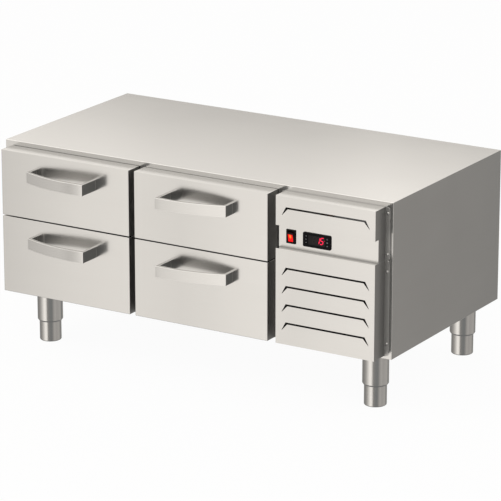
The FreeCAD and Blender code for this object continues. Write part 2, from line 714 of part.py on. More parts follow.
def controller_body():
    """Panel controller: bezel with a display recess and key wells, and its case behind."""
    piece = Piece("controller_body", "control_x", "strip_y", "control_z")
    piece.pad("XZ", "-control_thick", "0",
              rounded("-control_width / 2", "control_width / 2",
                      "-control_height / 2", "control_height / 2", "control_round"))
    piece.pad("XZ", "0", "case_depth",
              rectangle("-case_width / 2", "case_width / 2", "-case_height / 2", "case_height / 2"))
    piece.pocket("XZ", "-control_thick", "-control_thick + window_thick", WINDOW)
    wells = []
    for step in (-1, 0, 1):
        z = f"{step} * key_pitch"
        wells.append(rectangle("key_x - key_width / 2 - key_fit", "key_x + key_width / 2 + key_fit",
                               f"{z} - key_height / 2 - key_fit", f"{z} + key_height / 2 + key_fit"))
    piece.pocket("XZ", "-control_thick", "key_well - control_thick", *wells)
    keep(piece.body)


def controller_window():
    piece = Piece("controller_window", "control_x", "strip_y - control_thick", "control_z")
    piece.pad("XZ", "0", "window_thick", WINDOW)
    keep(piece.body)


def controller_keys():
    for name, step in (("key_up", 1), ("key_set", 0), ("key_down", -1)):
        piece = Piece(name, "control_x + key_x", "strip_y - control_thick",
                      f"control_z + {step} * key_pitch")
        piece.pad("XZ", "-key_proud", "key_depth", rounded("-key_width / 2", "key_width / 2",
                                              "-key_height / 2", "key_height / 2", "1"))
        keep(piece.body)


# Drawers

def channel(web, lip, half, side, centre):
    """A C section whose web is at one distance from the wall and its lips reach another."""
    turn = f"slide_wall * {1 if number(lip) > number(web) else -1}"

    def at(distance):
        return f"{side} * (cavity_half - ({distance}))"
    return [(at(web), f"{centre} - {half}"), (at(lip), f"{centre} - {half}"),
            (at(lip), f"{centre} - {half} + slide_wall"),
            (at(f"{web} + {turn}"), f"{centre} - {half} + slide_wall"),
            (at(f"{web} + {turn}"), f"{centre} + {half} - slide_wall"),
            (at(lip), f"{centre} + {half} - slide_wall"),
            (at(lip), f"{centre} + {half}"), (at(web), f"{centre} + {half}")]


def fixed_slide_rails():
    rails = []
    for column in ("left_column", "right_column"):
        for ledge in ("upper_ledge", "lower_ledge"):
            for side in (-1, 1):
                rail = Piece(f"fixed_rail_{len(rails) + 1}", column)
                rail.pad("XZ", "slide_y0", "slide_y1",
                         channel("0", "fixed_lip", "slide_height / 2", side, f"({ledge} - slide_drop)"))
                rails.append(rail.body)
    group("fixed_slide_rails", rails)


def drawer_front(name, column, low, height):
    """The folded skin: a shallow pan with soft front edges."""
    piece = Piece(name + "_front", column, "front_y", low)
    piece.pad("XZ", "0", "skin_depth + skin_wrap",
              rectangle("-drawer_width / 2", "drawer_width / 2", "0", height))

    def front_edge(edge):
        box_ = edge.BoundBox
        return box_.YMax < 0.01 or (box_.YLength > 1 and box_.XLength < 0.01)
    piece.soften("Fillet", "front_round", front_edge)
    piece.pocket("XZ", "skin", "skin_depth + skin_wrap",
                 rectangle("skin - drawer_width / 2", "drawer_width / 2 - skin",
                           "skin", f"{height} - skin"))
    keep(piece.body)


def drawer_core(name, column, low, height):
    """Foam with its bonded liner: fills the skin, steps in, and plugs the opening."""
    piece = Piece(name + "_core", column, "front_y", low)
    sill = "opening_sill - opening_inset" if low == "low_z" else "0"
    for y0, y1, inset, rise in (("skin", "skin_depth", "skin + foam_fit", "0"),
                                ("skin_depth", "skin_depth + hem_depth", "hem_step", "0"),
                                ("skin_depth + hem_depth", "skin_depth + hem_depth + plug_depth",
                                 "plug_inset", sill)):
        piece.pad("XZ", y0, y1, rectangle(f"{inset} - drawer_width / 2", f"drawer_width / 2 - ({inset})",
                                          f"{inset} + {rise}", f"{height} - ({inset})"))
    keep(piece.body)


def drawer_gasket(name, column, low, height):
    piece = Piece(name + "_gasket", column, "hem_y", low)
    inner = "(seal_inset + seal_width)"
    piece.pad("XZ", "0", "seal_depth",
              rounded("seal_inset - drawer_width / 2", "drawer_width / 2 - seal_inset",
                      "seal_inset", f"{height} - seal_inset", "seal_round"),
              rectangle(f"{inner} - drawer_width / 2", f"drawer_width / 2 - {inner}",
                        inner, f"{height} - {inner}"))
    keep(piece.body)


def drawer_handle(name, column, top, long_side):
    """A flat bar bent into a skewed bow: one leg is short, the other long."""
    piece = Piece(name + "_handle", column, "front_y", f"{top} - handle_drop - handle_height")
    half = "handle_width / 2"
    inner = f"({half} - handle_thick)"
    crown = "(handle_short + handle_long) / 2 + handle_bulge"
    short, long_ = f"{-long_side} * ", f"{long_side} * "
    piece.pad("XY", "0", "handle_height", [
        (short + half, "0"), (short + half, "-handle_short"),
        ("0", f"-({crown})", "via"), (long_ + half, "-handle_long"), (long_ + half, "0"),
        (long_ + inner, "0"), (long_ + inner, "handle_thick + long_bend - handle_long"),
        ("0", f"handle_thick - ({crown})", "via"),
        (short + inner, "handle_thick - short_bend - handle_short"), (short + inner, "0")])
    keep(piece.body)


def drawer_frame(name, column, ledge):
    """The welded frame: pan ledge, skirt and the two drawer members of the slides."""
    piece = Piece(name + "_frame", column)
    margin = "(frame_length - pan_length) / 2"
    outer = rectangle("-frame_half", "frame_half", "plug_y", "frame_y1")
    window = rectangle("-pan_width / 2", "pan_width / 2", f"plug_y + {margin}", f"frame_y1 - {margin}")
    hollow = rectangle("frame_wall - frame_half", "frame_half - frame_wall",
                       "plug_y + frame_wall", "frame_y1 - frame_wall")
    piece.pad("XY", f"{ledge} - frame_wall", ledge, outer, window)
    piece.pad("XY", f"{ledge} - frame_skirt", f"{ledge} - frame_wall", outer, hollow)
    for side in (-1, 1):
        piece.pad("XZ", "slide_y0", "frame_y1",
                  channel("slide_thick", "drawer_lip", "drawer_half", side, f"({ledge} - slide_drop)"))
    keep(piece.body)


def middle_rails(name, column, ledge):
    rails = []
    for side in (-1, 1):
        rail = Piece(f"{name}_middle_rail_{len(rails) + 1}", column)
        rail.pad("XZ", "slide_y0", "slide_y1",
                 channel("middle_web", "middle_lip", "middle_half", side, f"({ledge} - slide_drop)"))
        rails.append(rail.body)
    group(name + "_middle_rails", rails)


def drawers():
    for side, column, long_side in (("left", "left_column", 1), ("right", "right_column", -1)):
        for level, low, height, top, ledge in (
                ("upper", "upper_z", "upper_front", "high_z", "upper_ledge"),
                ("lower", "low_z", "lower_front", "seam_z", "lower_ledge")):
            name = f"{level}_{side}_drawer"
            drawer_front(name, column, low, height)
            drawer_core(name, column, low, height)
            drawer_gasket(name, column, low, height)
            drawer_handle(name, column, top, long_side)
            drawer_frame(name, column, ledge)
            middle_rails(name, column, ledge)


# Legs

LEGS = {
    "front_left": ("leg_left - side_x", "face_y + leg_front"),
    "front_right": ("side_x - leg_right", "face_y + leg_front"),
    "rear_left": ("leg_left - side_x", "back_y - leg_back"),
    "rear_right": ("side_x - leg_right", "back_y - leg_back"),
}


def leg_sockets():
    """Upper tubes with a bevelled mouth, a top plate and the bush of the spindle."""
    sockets = []
    for name, (x, y) in LEGS.items():
        socket = Piece("socket_" + name, x, y)
        bore, bush = "spindle_radius + thread_fit", "spindle_radius + bush_wall"
        tube_in = "socket_radius - socket_wall"
        socket.revolve("XZ", "V_Axis", [
            (bore, "base_z"), (bore, "base_z - bush_length"),
            (bush, "base_z - bush_length"), (bush, "base_z - socket_plate"),
            (tube_in, "base_z - socket_plate"), (tube_in, "foot_show"),
            (f"{tube_in} + mouth_wall", "foot_show"), ("socket_radius", "foot_show + mouth_bevel"),
            ("socket_radius", "base_z")])
        sockets.append(socket.body)
    group("leg_sockets", sockets)


def adjustable_feet():
    """Lower tubes with a rounded closed bottom and a central spindle."""
    for name, (x, y) in LEGS.items():
        foot = Piece(name + "_foot", x, y)
        bend = f"foot_round * {CORNER:.6f}"
        wall, rim = "foot_radius - foot_wall", "foot_show + foot_travel + foot_overlap"
        tip = "base_z - spindle_gap"
        foot.revolve("XZ", "V_Axis", [
            ("0", "0"), ("foot_radius - foot_round", "0"), (f"foot_radius - {bend}", bend, "via"),
            ("foot_radius", "foot_round"), ("foot_radius", rim), (wall, rim), (wall, "foot_floor"),
            ("spindle_radius", "foot_floor"), ("spindle_radius", tip), ("0", tip)])
        keep(foot.body)


# Refrigeration

def condenser_coil():
    """A fin pack between two end plates that stand on the floor, with return bends."""
    piece = Piece("condenser_coil", "condenser_x", "condenser_y", "condenser_z")
    half, thick = "condenser_width / 2", "(coil_thick / 2 + end_plate)"
    piece.pad("XZ", "-coil_thick / 2", "coil_thick / 2",
              rectangle(f"-{half}", half, "0", "condenser_height"))
    for end in (-1, 1):
        inner, outer = f"{end} * {half}", f"{end} * ({half} + end_plate)"
        piece.pad("XZ", f"-{thick}", thick,
                  rectangle(inner, outer, "base_z + skin - condenser_z", "condenser_height + plate_rise"))
        near, far = sorted((outer, f"{end} * ({half} + end_plate + bend_reach)"), key=number)
        for step in range(4):
            middle = f"condenser_height * {(step + 0.5) / 4:.4f}"
            piece.pad("YZ", near, far, return_bend(middle))
    keep(piece.body)


def return_bend(middle):
    """The outline of one return bend around its height."""
    return rounded("-bend_half", "bend_half", f"{middle} - pipe_radius", f"{middle} + pipe_radius",
                   "pipe_radius * 0.98")


def condenser_fan():
    """Shroud ring with the motor on three arms, and the fan ahead of it."""
    piece = Piece("condenser_fan_motor", "condenser_x", "condenser_y + coil_thick / 2 + end_plate", "fan_z")
    edge = "(condenser_width / 2 + end_plate)"
    opening = circle("0", "0", "condenser_fan + shroud_gap")
    ring = "(condenser_fan + shroud_gap + end_plate)"
    piece.pad("XZ", "0", "frame_wall",
              rectangle(f"-{edge}", edge, "-condenser_height / 2", "condenser_height / 2"), opening)
    piece.pad("XZ", "0", "shroud_depth", circle("0", "0", ring), opening)
    piece.pad("XZ", "motor_front", "motor_back", circle("0", "0", "motor_radius"))
    arm = piece.pad("XZ", "motor_front + 2", "motor_front + 6", rectangle("-8", "8", "20", ring))
    piece.ring(arm, "Y", 3)
    tab = piece.pad("XZ", "shroud_depth - 4", "motor_front + 6",
                    rectangle("-8", "8", f"{ring} - 1.5", ring))
    piece.ring(tab, "Y", 3)
    keep(piece.body)
    fan_blade("condenser_fan_blade", "condenser_x", "condenser_y + coil_thick / 2 + 10", "fan_z",
              "Y", "condenser_fan", "condenser_hub", 5, 28)


def fan_blade(label, x, y, z, axis, radius, hub, count, pitch):
    """A hub with pitched flat blades around the Y or the X axis."""
    piece = Piece(label, x, y, z)
    lean, rise = math.cos(math.radians(pitch)), math.sin(math.radians(pitch))
    chord, thick = f"{radius} * 0.62", 1.6
    along, across = f"{chord} * {lean:.4f} / 2", f"{chord} * {rise:.4f} / 2"
    slip_u, slip_v = f"{thick * rise:.4f}", f"{thick * lean:.4f}"
    corners = [(f"-{along}", f"fan_depth / 2 - {across}"), (along, f"fan_depth / 2 + {across}"),
               (f"{along} - {slip_u}", f"fan_depth / 2 + {across} + {slip_v}"),
               (f"-{along} - {slip_u}", f"fan_depth / 2 - {across} + {slip_v}")]
    if axis == "Y":
        piece.pad("XZ", "0", "fan_depth", circle("0", "0", hub))
        blade = piece.pad("XY", f"{hub} - 2", radius, corners)
        piece.ring(blade, "Y", count)
    else:
        piece.pad("YZ", "0", "fan_depth", circle("0", "0", hub))
        swapped = [(v, u) for u, v in corners]
        blade = piece.pad("XY", f"{hub} - 2", radius, swapped)
        piece.ring(blade, "X", count)
    keep(piece.body)


def compressor():
    """A thick hollow shell on its foot plate, with the relay box on one side."""
    piece = Piece("compressor", "compressor_x", "compressor_y", "base_z + skin")
    plate_z, bend = "grommet + plate_thick", "50"
    piece.pad("XY", "grommet", plate_z, rounded("-plate_half", "plate_half", "-75", "75", "12"))
    piece.revolve("XZ", "V_Axis", [
        ("0", plate_z), ("compressor_radius * 0.6", plate_z),
        ("compressor_radius * 0.9", "22", "via"), ("compressor_radius", bend),
        ("compressor_radius", f"compressor_height - {bend}"),
        ("compressor_radius * 0.82", "compressor_height - shell_wall", "via"),
        ("compressor_radius * 0.3", "compressor_height"), ("0", "compressor_height")],
        rectangle("1", "compressor_radius - shell_wall",
                  "2 * shell_wall", "compressor_height - 2 * shell_wall"))
    piece.pad("XY", "0", "grommet",
              *[circle(f"{sx} * 84", f"{sy} * 60", "9") for sx in (-1, 1) for sy in (-1, 1)])
    piece.pad("XZ", "-compressor_radius - 26", "-40", rectangle("-32", "32", "60", "120"))
    keep(piece.body)


def condensate_tray():
    piece = Piece("condensate_tray", "condenser_x", "back_y - skin - 64", "base_z + skin")
    long_half, wide_half = "tray_length / 2", "tray_width / 2"
    piece.pad("XY", "0", "tray_height",
              rounded(f"-{long_half}", long_half, f"-{wide_half}", wide_half, "tray_round"))
    inner_long, inner_wide = f"({long_half} - tray_wall)", f"({wide_half} - tray_wall)"
    piece.pocket("XY", "tray_wall", "tray_height",
                 rounded(f"-{inner_long}", inner_long, f"-{inner_wide}", inner_wide,
                         "tray_round - tray_wall"))
    keep(piece.body)


def cord_gland():
    """A cable gland through the floor of the technical compartment, pointing down."""
    piece = Piece("cord_gland", "gland_x", "gland_y", "base_z")
    top = "skin + gland_rise"
    piece.revolve("XZ", "V_Axis", [
        ("gland_bore", "-gland_drop"), ("gland_flange - 2.5", "-gland_drop"),
        ("gland_flange", "4 - gland_drop"), ("gland_flange", "0"), ("gland_neck", "0"),
        ("gland_neck", "skin"), ("gland_flange", "skin"), ("gland_flange", top), ("gland_bore", top)])
    keep(piece.body)


def evaporator_coil():
    """The slim coil inside the partition, whose end plates stand on the liner's floor."""
    piece = Piece("evaporator_coil", "partition_x", "0", "fan_level - evaporator_height / 2")
    y0, y1 = "(inside_y + 40)", "(inside_y + 40 + evaporator_length)"
    half, thick = "coil_thick / 2", "(coil_thick / 2 + end_plate)"
    piece.pad("YZ", f"-{half}", half, rectangle(y0, y1, "0", "evaporator_height"))
    for end in (y0, f"({y1} - end_plate)"):
        piece.pad("YZ", f"-{thick}", thick,
                  rectangle(end, f"{end} + end_plate", "cavity_z0 - fan_level + evaporator_height / 2",
                            "evaporator_height + plate_rise"))
    for step in range(3):
        outline = return_bend(f"evaporator_height * {(step + 0.5) / 3:.4f}")
        for low, high in ((f"{y0} - bend_reach", y0), (y1, f"{y1} + bend_reach")):
            piece.pad("XZ", low, high, outline)
    keep(piece.body)


def evaporator_fan():
    """A square ring on the partition's left cheek, with a small motor on three struts."""
    ring = Piece("evaporator_fan_motor", "partition_x0 + skin", "fan_y", "fan_level")
    edge = "(evaporator_fan + fan_margin + 4)"
    front, back = "shroud_depth - 4", "shroud_depth"
    ring.pad("YZ", "0", back, rounded(f"-{edge}", edge, f"-{edge}", edge, "8"),
             circle("0", "0", "evaporator_fan + fan_margin"))
    ring.pad("YZ", front, back, circle("0", "0", "evaporator_hub + 3"))
    strut = ring.pad("YZ", front, back, rectangle("-3", "3", "evaporator_hub - 1", "evaporator_fan + 4"))
    ring.ring(strut, "X", 3)
    keep(ring.body)
    fan_blade("evaporator_fan_blade", "partition_x0 + skin + 3", "fan_y", "fan_level",
              "X", "evaporator_fan", "evaporator_hub", 7, 32)


def tube(points, radius, bend):
    """A round tube along straight runs that are joined by tangent arcs."""
    spots = [Vector(*[number(c) for c in point]) for point in points]
    edges = []
    start = spots[0]
    for before, corner, after in zip(spots, spots[1:], spots[2:]):
        to_corner = (corner - before).normalize()
        from_corner = (after - corner).normalize()
        turn = to_corner.getAngle(from_corner)
        reach = bend * math.tan(turn / 2)
        enter, leave = corner - to_corner * reach, corner + from_corner * reach
        inward = (from_corner - to_corner).normalize()
        middle = corner + inward * (bend / math.cos(turn / 2) - bend)
        edges.append(Part.LineSegment(start, enter).toShape())
        edges.append(Part.Arc(enter, middle, leave).toShape())
        start = leave
    edges.append(Part.LineSegment(start, spots[-1]).toShape())
    section = Part.Circle(spots[0], spots[1] - spots[0], radius).toShape()
    return Part.Wire(edges).makePipeShell([Part.Wire([section])], True, False)


def refrigerant_pipes():
    """Discharge pipe, liquid line with its drier, and suction line, as three runs."""
    radius = number("pipe_radius")
    cx, cy = "compressor_x", "compressor_y"
    right = "(condenser_x + condenser_width / 2 - 20)"
    left = "(condenser_x - condenser_width / 2 + 14)"
    fin_top = "(condenser_z + condenser_height)"
    shell_top = "(base_z + skin + compressor_height)"
    duct_y = "(cavity_y1 + liner + 20)"
    pass_z = "(fan_level + 58)"
    line_z, suction_z = f"{fin_top} + 60", f"{pass_z} + 24"
    discharge_x, suction_x, coil_y = f"{cx} + 40", f"{cx} - 50", "inside_y + 372"
    liquid_end, suction_end = "partition_x + 12", "partition_x - 12"
    runs = [
        [(discharge_x, cy, f"{shell_top} - 8"), (discharge_x, cy, f"{shell_top} + 70"),
         (right, cy, f"{shell_top} + 95"), (right, "condenser_y", f"{shell_top} + 95"),
         (right, "condenser_y", fin_top)],
        [(left, "condenser_y", fin_top), (left, "condenser_y", line_z),
         (left, "cavity_y1 - 60", line_z), (left, duct_y, pass_z),
         (liquid_end, duct_y, pass_z), (liquid_end, coil_y, pass_z)],
        [(suction_end, coil_y, suction_z), (suction_end, duct_y, suction_z),
         (suction_x, duct_y, suction_z), (suction_x, cy, suction_z),
         (suction_x, cy, f"{shell_top} - 20")],
    ]
    tubes = [tube(run, radius, 5 * radius) for run in runs]
    drier_foot = Vector(number(left), number("condenser_y + 90"), number(line_z))
    drier = Part.makeCylinder(3 * radius, number("drier_length"), drier_foot, Vector(0, 1, 0))
    tubes[1] = tubes[1].fuse(drier).removeSplitter()
    item = doc.addObject("Part::Feature", "refrigerant_pipes")
    item.Shape = Part.makeCompound(tubes)
    keep(item)


def build():
    top_panel()
    side_panel("left_side_panel", -1)
    side_panel("right_side_panel", 1)
    back_panel()
    bottom_panel()
    front_frame()
    bulkhead_panel()
    cabinet_insulation()
    inner_liner()
    evaporator_housing()
    fixed_slide_rails()
    upper_cover()
    lower_cover()
    cover_screws()
    switch_housing()
    switch_rocker()
    controller_body()
    controller_window()
    controller_keys()
    drawers()
    leg_sockets()
    adjustable_feet()
    condenser_coil()
    condenser_fan()
    compressor()
    condensate_tray()
    cord_gland()
    evaporator_coil()
    evaporator_fan()
    refrigerant_pipes()
    doc.recompute()


def check_model():
    """Stop before anything is written if a feature or a sub-part is unsound."""
    broken = [item.Label for item in doc.Objects if {"Invalid", "Error"} & set(item.State)]
    if broken:
        raise RuntimeError("failed features: " + ", ".join(broken))
    for item in NODES:
        if item.Shape.isNull() or not item.Shape.isValid():
            raise RuntimeError("unsound shape: " + item.Label)


def write_parts():
    os.makedirs("parts", exist_ok=True)
    for item in NODES:
        item.Shape.exportStep(os.path.join("parts", item.Label + ".step"))


build()
check_model()
write_parts()
overall = FreeCAD.BoundBox()
for node in NODES:
    overall.add(node.Shape.BoundBox)
print(len(NODES), "sub-parts", overall)
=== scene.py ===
# %% [markdown]
# # Refrigerated drawer base
# A low steel cabinet on four legs. Two columns of two insulated drawers stand on the left,
# and a ventilated compartment with the cooling machine stands on the right.
# This lesson dresses the finished construction: it gives every sheet its real folds,
# every surface its finish, and adds the small things that a person sees up close.
#
# The construction comes first. It is fixed: each body already moves as it should, so this
# file only adds looks around it. The overall size is kept.

# %% Load the construction
import json
import math

import bmesh
import bpy
from mathutils import Matrix, Vector

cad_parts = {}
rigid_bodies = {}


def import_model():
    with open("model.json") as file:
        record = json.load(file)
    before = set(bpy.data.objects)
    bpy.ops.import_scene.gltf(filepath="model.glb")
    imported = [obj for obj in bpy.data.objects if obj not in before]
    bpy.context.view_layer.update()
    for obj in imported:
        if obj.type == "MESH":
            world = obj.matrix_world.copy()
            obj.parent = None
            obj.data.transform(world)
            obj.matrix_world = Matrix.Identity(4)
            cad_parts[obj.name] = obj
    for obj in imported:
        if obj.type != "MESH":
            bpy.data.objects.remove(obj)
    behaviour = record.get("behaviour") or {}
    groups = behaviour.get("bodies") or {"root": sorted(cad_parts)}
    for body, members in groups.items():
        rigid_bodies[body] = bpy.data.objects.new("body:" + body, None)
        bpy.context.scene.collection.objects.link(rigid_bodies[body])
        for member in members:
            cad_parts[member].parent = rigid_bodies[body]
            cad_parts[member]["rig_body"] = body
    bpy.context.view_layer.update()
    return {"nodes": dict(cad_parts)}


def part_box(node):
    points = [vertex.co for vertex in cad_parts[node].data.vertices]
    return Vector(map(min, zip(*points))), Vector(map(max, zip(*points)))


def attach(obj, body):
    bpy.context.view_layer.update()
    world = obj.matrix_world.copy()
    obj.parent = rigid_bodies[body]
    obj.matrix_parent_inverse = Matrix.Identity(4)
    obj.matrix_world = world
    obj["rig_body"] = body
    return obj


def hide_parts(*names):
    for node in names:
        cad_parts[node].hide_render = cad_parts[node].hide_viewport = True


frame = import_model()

scene = bpy.context.scene
nodes = frame["nodes"]

# %% [markdown]
# ## Camera
# The reference picture was taken from the front right, a little above the worktop, with a long
# lens. A lens of 224 mm on a 36 mm sensor from 8.5 m away keeps the edges almost parallel.
# The camera is placed from two angles and a distance, because those are what a photographer sets.

# %% Camera
CAMERA_TURN = 31.329
CAMERA_RISE = 16.993
CAMERA_RANGE = 8.497
CAMERA_AIM = Vector((0.0047, 0.0443, 0.2759))
LENS = 224.5

turn, rise = math.radians(CAMERA_TURN), math.radians(CAMERA_RISE)
towards_camera = Vector((math.sin(turn) * math.cos(rise), -math.cos(turn) * math.cos(rise), math.sin(rise)))
camera_data = bpy.data.cameras.new("photo_camera")
camera_data.lens = LENS
camera_data.sensor_width = 36
camera_data.clip_end = 100
camera = bpy.data.objects.new("photo_camera", camera_data)
camera.location = CAMERA_AIM + CAMERA_RANGE * towards_camera
camera.rotation_euler = (math.pi / 2 - rise, 0, turn)
scene.collection.objects.link(camera)
scene.camera = camera
scene.view_settings.view_transform = "Standard"
print("camera at", [round(c, 3) for c in camera.location])

# %% [markdown]
# ## Helpers
# Every finish below is a small network of shader nodes, and every repeated shape is a network
# too. The helpers keep them readable: a node is added together with everything that feeds it,
# and a mesh is put into the scene in one line.

# %% Node helpers
def feed(tree, node, values):
    """Fill inputs by name or number: a socket is linked, and anything else is set as the value."""
    for key, value in values:
        socket = node.inputs[key.replace("_", " ") if isinstance(key, str) else key]
        if isinstance(value, bpy.types.NodeSocket):
            tree.links.new(value, socket)
        else:
            socket.default_value = value


def add(tree, kind, *numbered, **named):
    """Add a node. A name is a property of the node if it has one, and an input if not."""
    node = tree.nodes.new(kind)
    for key, value in named.items():
        if hasattr(node, key):
            setattr(node, key, value)
    feed(tree, node, [(key, value) for key, value in named.items() if not hasattr(node, key)])
    feed(tree, node, enumerate(numbered))
    return node


def math_of(tree, operation, *values):
    return add(tree, "ShaderNodeMath", *values, operation=operation).outputs[0]


def vector_of(tree, operation, *values, **named):
    """The result of a vector operation: a vector, or a number where it gives one."""
    node = add(tree, "ShaderNodeVectorMath", *values, operation=operation, **named)
    return next(o for o in node.outputs if o.enabled)


def blended(tree, share, one, two):
    """A colour between two, by a share from 0 to 1."""
    return add(tree, "ShaderNodeMix", data_type="RGBA", Factor=share, A=one, B=two).outputs["Result"]


def map_range(tree, value, from_min, from_max, to_min=0.0, to_max=1.0, smooth=False):
    return add(tree, "ShaderNodeMapRange", interpolation_type="SMOOTHSTEP" if smooth else "LINEAR", Value=value,
               From_Min=from_min, From_Max=from_max, To_Min=to_min, To_Max=to_max).outputs["Result"]


def object_place(tree):
    """The position of each point on the piece, in metres."""
    return tree.nodes.new("ShaderNodeTexCoord").outputs["Object"]


def new_material(name, **values):
    """A material with one Principled shader, whose plain values are set on its own sockets."""
    material = bpy.data.materials.new(name)
    material.use_nodes = True
    tree = material.node_tree
    shader = tree.nodes["Principled BSDF"]
    feed(tree, shader, values.items())
    return material, tree, shader


# %% Mesh helpers
def drawn(name, points, edges=(), faces=()):
    mesh = bpy.data.meshes.new(name)
    mesh.from_pydata(points, edges, faces)
    return mesh


def mesh_of(name, bm):
    mesh = bpy.data.meshes.new(name)
    bm.to_mesh(mesh)
    bm.free()
    return mesh


def shown(name, mesh):
    """Put a mesh into the scene."""
    thing = bpy.data.objects.new(name, mesh)
    scene.collection.objects.link(thing)
    return thing


def settled(thing):
    """What a thing looks like after its modifiers, as plain mesh data."""
    return bpy.data.meshes.new_from_object(thing.evaluated_get(bpy.context.evaluated_depsgraph_get()))


# %% [markdown]
# ## Studio
# The room is plain white, for the camera and for anything that mirrors it, and it lights the
# object evenly from all sides.

# %% White room
ROOM_LIGHT = (0.62, 0.605, 0.585)


def build_world():
    world = bpy.data.worlds.new("white_room")
    world.use_nodes = True
    scene.world = world
    tree = world.node_tree
    tree.nodes.clear()
    seen = add(tree, "ShaderNodeLightPath").outputs
    mirrored = math_of(tree, "MAXIMUM", seen["Is Glossy Ray"], seen["Is Transmission Ray"])
    plain = math_of(tree, "MAXIMUM", seen["Is Camera Ray"], mirrored)
    lit = add(tree, "ShaderNodeBackground", Color=(*ROOM_LIGHT, 1))
    white = add(tree, "ShaderNodeBackground", Color=(1, 1, 1, 1))
    mix = add(tree, "ShaderNodeMixShader", plain, lit.outputs[0], white.outputs[0])
    add(tree, "ShaderNodeOutputWorld", Surface=mix.outputs[0])


build_world()
print("room light", ROOM_LIGHT)

# %% [markdown]
# Brushed steel shows its surroundings more than its own colour, and a plain white room would
# make all its sides look alike. A photographer hangs sheets round the object, some bright and
# some grey, which only the steel sees. Here that is one large tent, far away: bright
# in front and to the left, grey behind and on the right, and bright overhead.

# %% Studio tent
# Heading in degrees (0 is straight in front, + is to the right) and brightness near the horizon.
HORIZON = ((-180, 0.45), (-149, 0.36), (-120, 0.30), (-89, 0.34), (-73, 0.44), (-60, 0.56), (-47, 0.80),
           (-38, 0.98), (-31, 1.18), (-24, 1.36), (-10, 1.38), (-3, 1.18), (6, 0.34), (31, 0.28), (50, 0.26),
           (62, 0.44), (78, 0.60), (93, 0.50), (140, 0.57), (151, 0.345), (154, 0.31), (165, 0.28), (180, 0.45))
WARM, COOL = (1.0, 0.960, 0.908), (0.985, 1.0, 0.985)
WARM_FROM, WARM_STEP = 0.27, 0.07
SKY = (1.36, 1.32, 1.25)
SKY_FROM, SKY_FULL = 0.22, 0.58
SHADE_FROM, SHADE_FULL, SHADE = -0.42, -0.85, 0.22
TENT_RADIUS = 60


def ramp_of(tree, share, stops, colour_of):
    """A colour that follows the stops, by a share of the way from the first stop to the last."""
    node = add(tree, "ShaderNodeValToRGB", share)
    elements = node.color_ramp.elements
    (low, first), (high, last) = stops[0], stops[-1]
    elements[0].color, elements[1].color = colour_of(first), colour_of(last)
    for at, level in stops[1:-1]:
        elements.new((at - low) / (high - low)).color = colour_of(level)
    return node.outputs["Color"]


def studio_tint(level):
    """Bright parts of the studio are warm and dark parts are neutral."""
    share = min(max((level - WARM_FROM) / WARM_STEP, 0), 1)
    return (*[level * (c + (w - c) * share) for w, c in zip(WARM, COOL)], 1)


def glowing(name, colour_into):
    """A material that only glows, with its colour from the given function."""
    material = bpy.data.materials.new(name)
    material.use_nodes = True
    tree = material.node_tree
    tree.nodes.clear()
    glow = add(tree, "ShaderNodeEmission", Color=colour_into(tree))
    add(tree, "ShaderNodeOutputMaterial", Surface=glow.outputs[0])
    return material


def tent_colour(tree):
    x, y, z = add(tree, "ShaderNodeSeparateXYZ", vector_of(tree, "NORMALIZE", object_place(tree))).outputs
    heading = math_of(tree, "ARCTAN2", x, math_of(tree, "MULTIPLY", y, -1))
    horizon = ramp_of(tree, map_range(tree, heading, -math.pi, math.pi), HORIZON, studio_tint)
    sky = blended(tree, map_range(tree, z, SKY_FROM, SKY_FULL, smooth=True), horizon, (*SKY, 1))
    below = map_range(tree, z, SHADE_FROM, SHADE_FULL, smooth=True)
    return blended(tree, below, sky, (SHADE, SHADE, SHADE, 1))


def only_mirrored(thing):
    """A sheet that the steel can see, and that neither the camera nor the light notices."""
    thing.visible_camera = thing.visible_diffuse = thing.visible_shadow = thing.visible_transmission = False
    print(thing.name, "only in reflections")


def build_tent():
    bm = bmesh.new()
    bmesh.ops.create_icosphere(bm, subdivisions=3, radius=TENT_RADIUS)
    mesh = mesh_of("studio_tent", bm)
    mesh.materials.append(glowing("tent_glow", tent_colour))
    only_mirrored(shown("studio_tent", mesh))


build_tent()

# %% [markdown]
# The worktop lies flat, so it mirrors what stands behind the object. A card behind it, which only
# reflections can see, grows brighter upwards and a little to the right. That is what makes a
# flat steel top fade from front to back.

# %% Card behind the worktop
CARD_UP = ((0.6, 0.28), (0.80, 0.42), (0.97, 0.72), (1.20, 1.16), (1.5, 1.36), (2.4, 1.3))
CARD_ACROSS = ((-1.8, 1.0), (-1.6, 1.0), (-1.35, 0.935), (-1.0, 0.945), (-0.8, 0.965), (-0.5, 1.11), (-0.3, 1.08))
CARD_BACK, CARD_LEFT, CARD_RIGHT, CARD_LOW, CARD_HIGH = 1.7, -3.2, 2.2, 0.62, 2.4


def card_colour(tree):
    x, _, z = add(tree, "ShaderNodeSeparateXYZ", object_place(tree)).outputs
    height, side = [
        ramp_of(tree, map_range(tree, place, stops[0][0], stops[-1][0]), stops, colour_of)
        for place, stops, colour_of in ((z, CARD_UP, studio_tint), (x, CARD_ACROSS, lambda level: (*[level] * 3, 1)))]
    return vector_of(tree, "MULTIPLY", height, side)


def build_card():
    corners = [(CARD_LEFT, CARD_LOW), (CARD_RIGHT, CARD_LOW), (CARD_RIGHT, CARD_HIGH), (CARD_LEFT, CARD_HIGH)]
    mesh = drawn("back_card", [(x, CARD_BACK, z) for x, z in corners], faces=[(0, 1, 2, 3)])
    mesh.materials.append(glowing("card_glow", card_colour))
    only_mirrored(shown("back_card", mesh))


build_card()

# %% [markdown]
# The floor is white paper. For the camera it glows almost fully, so that only a trace of the
# shadow is left under the legs, and the steel doesn't mirror it.

# %% Floor
FLOOR_REACH = 30
FLOOR_WHITE = 0.955
PAPER = (0.93, 0.93, 0.925, 1)


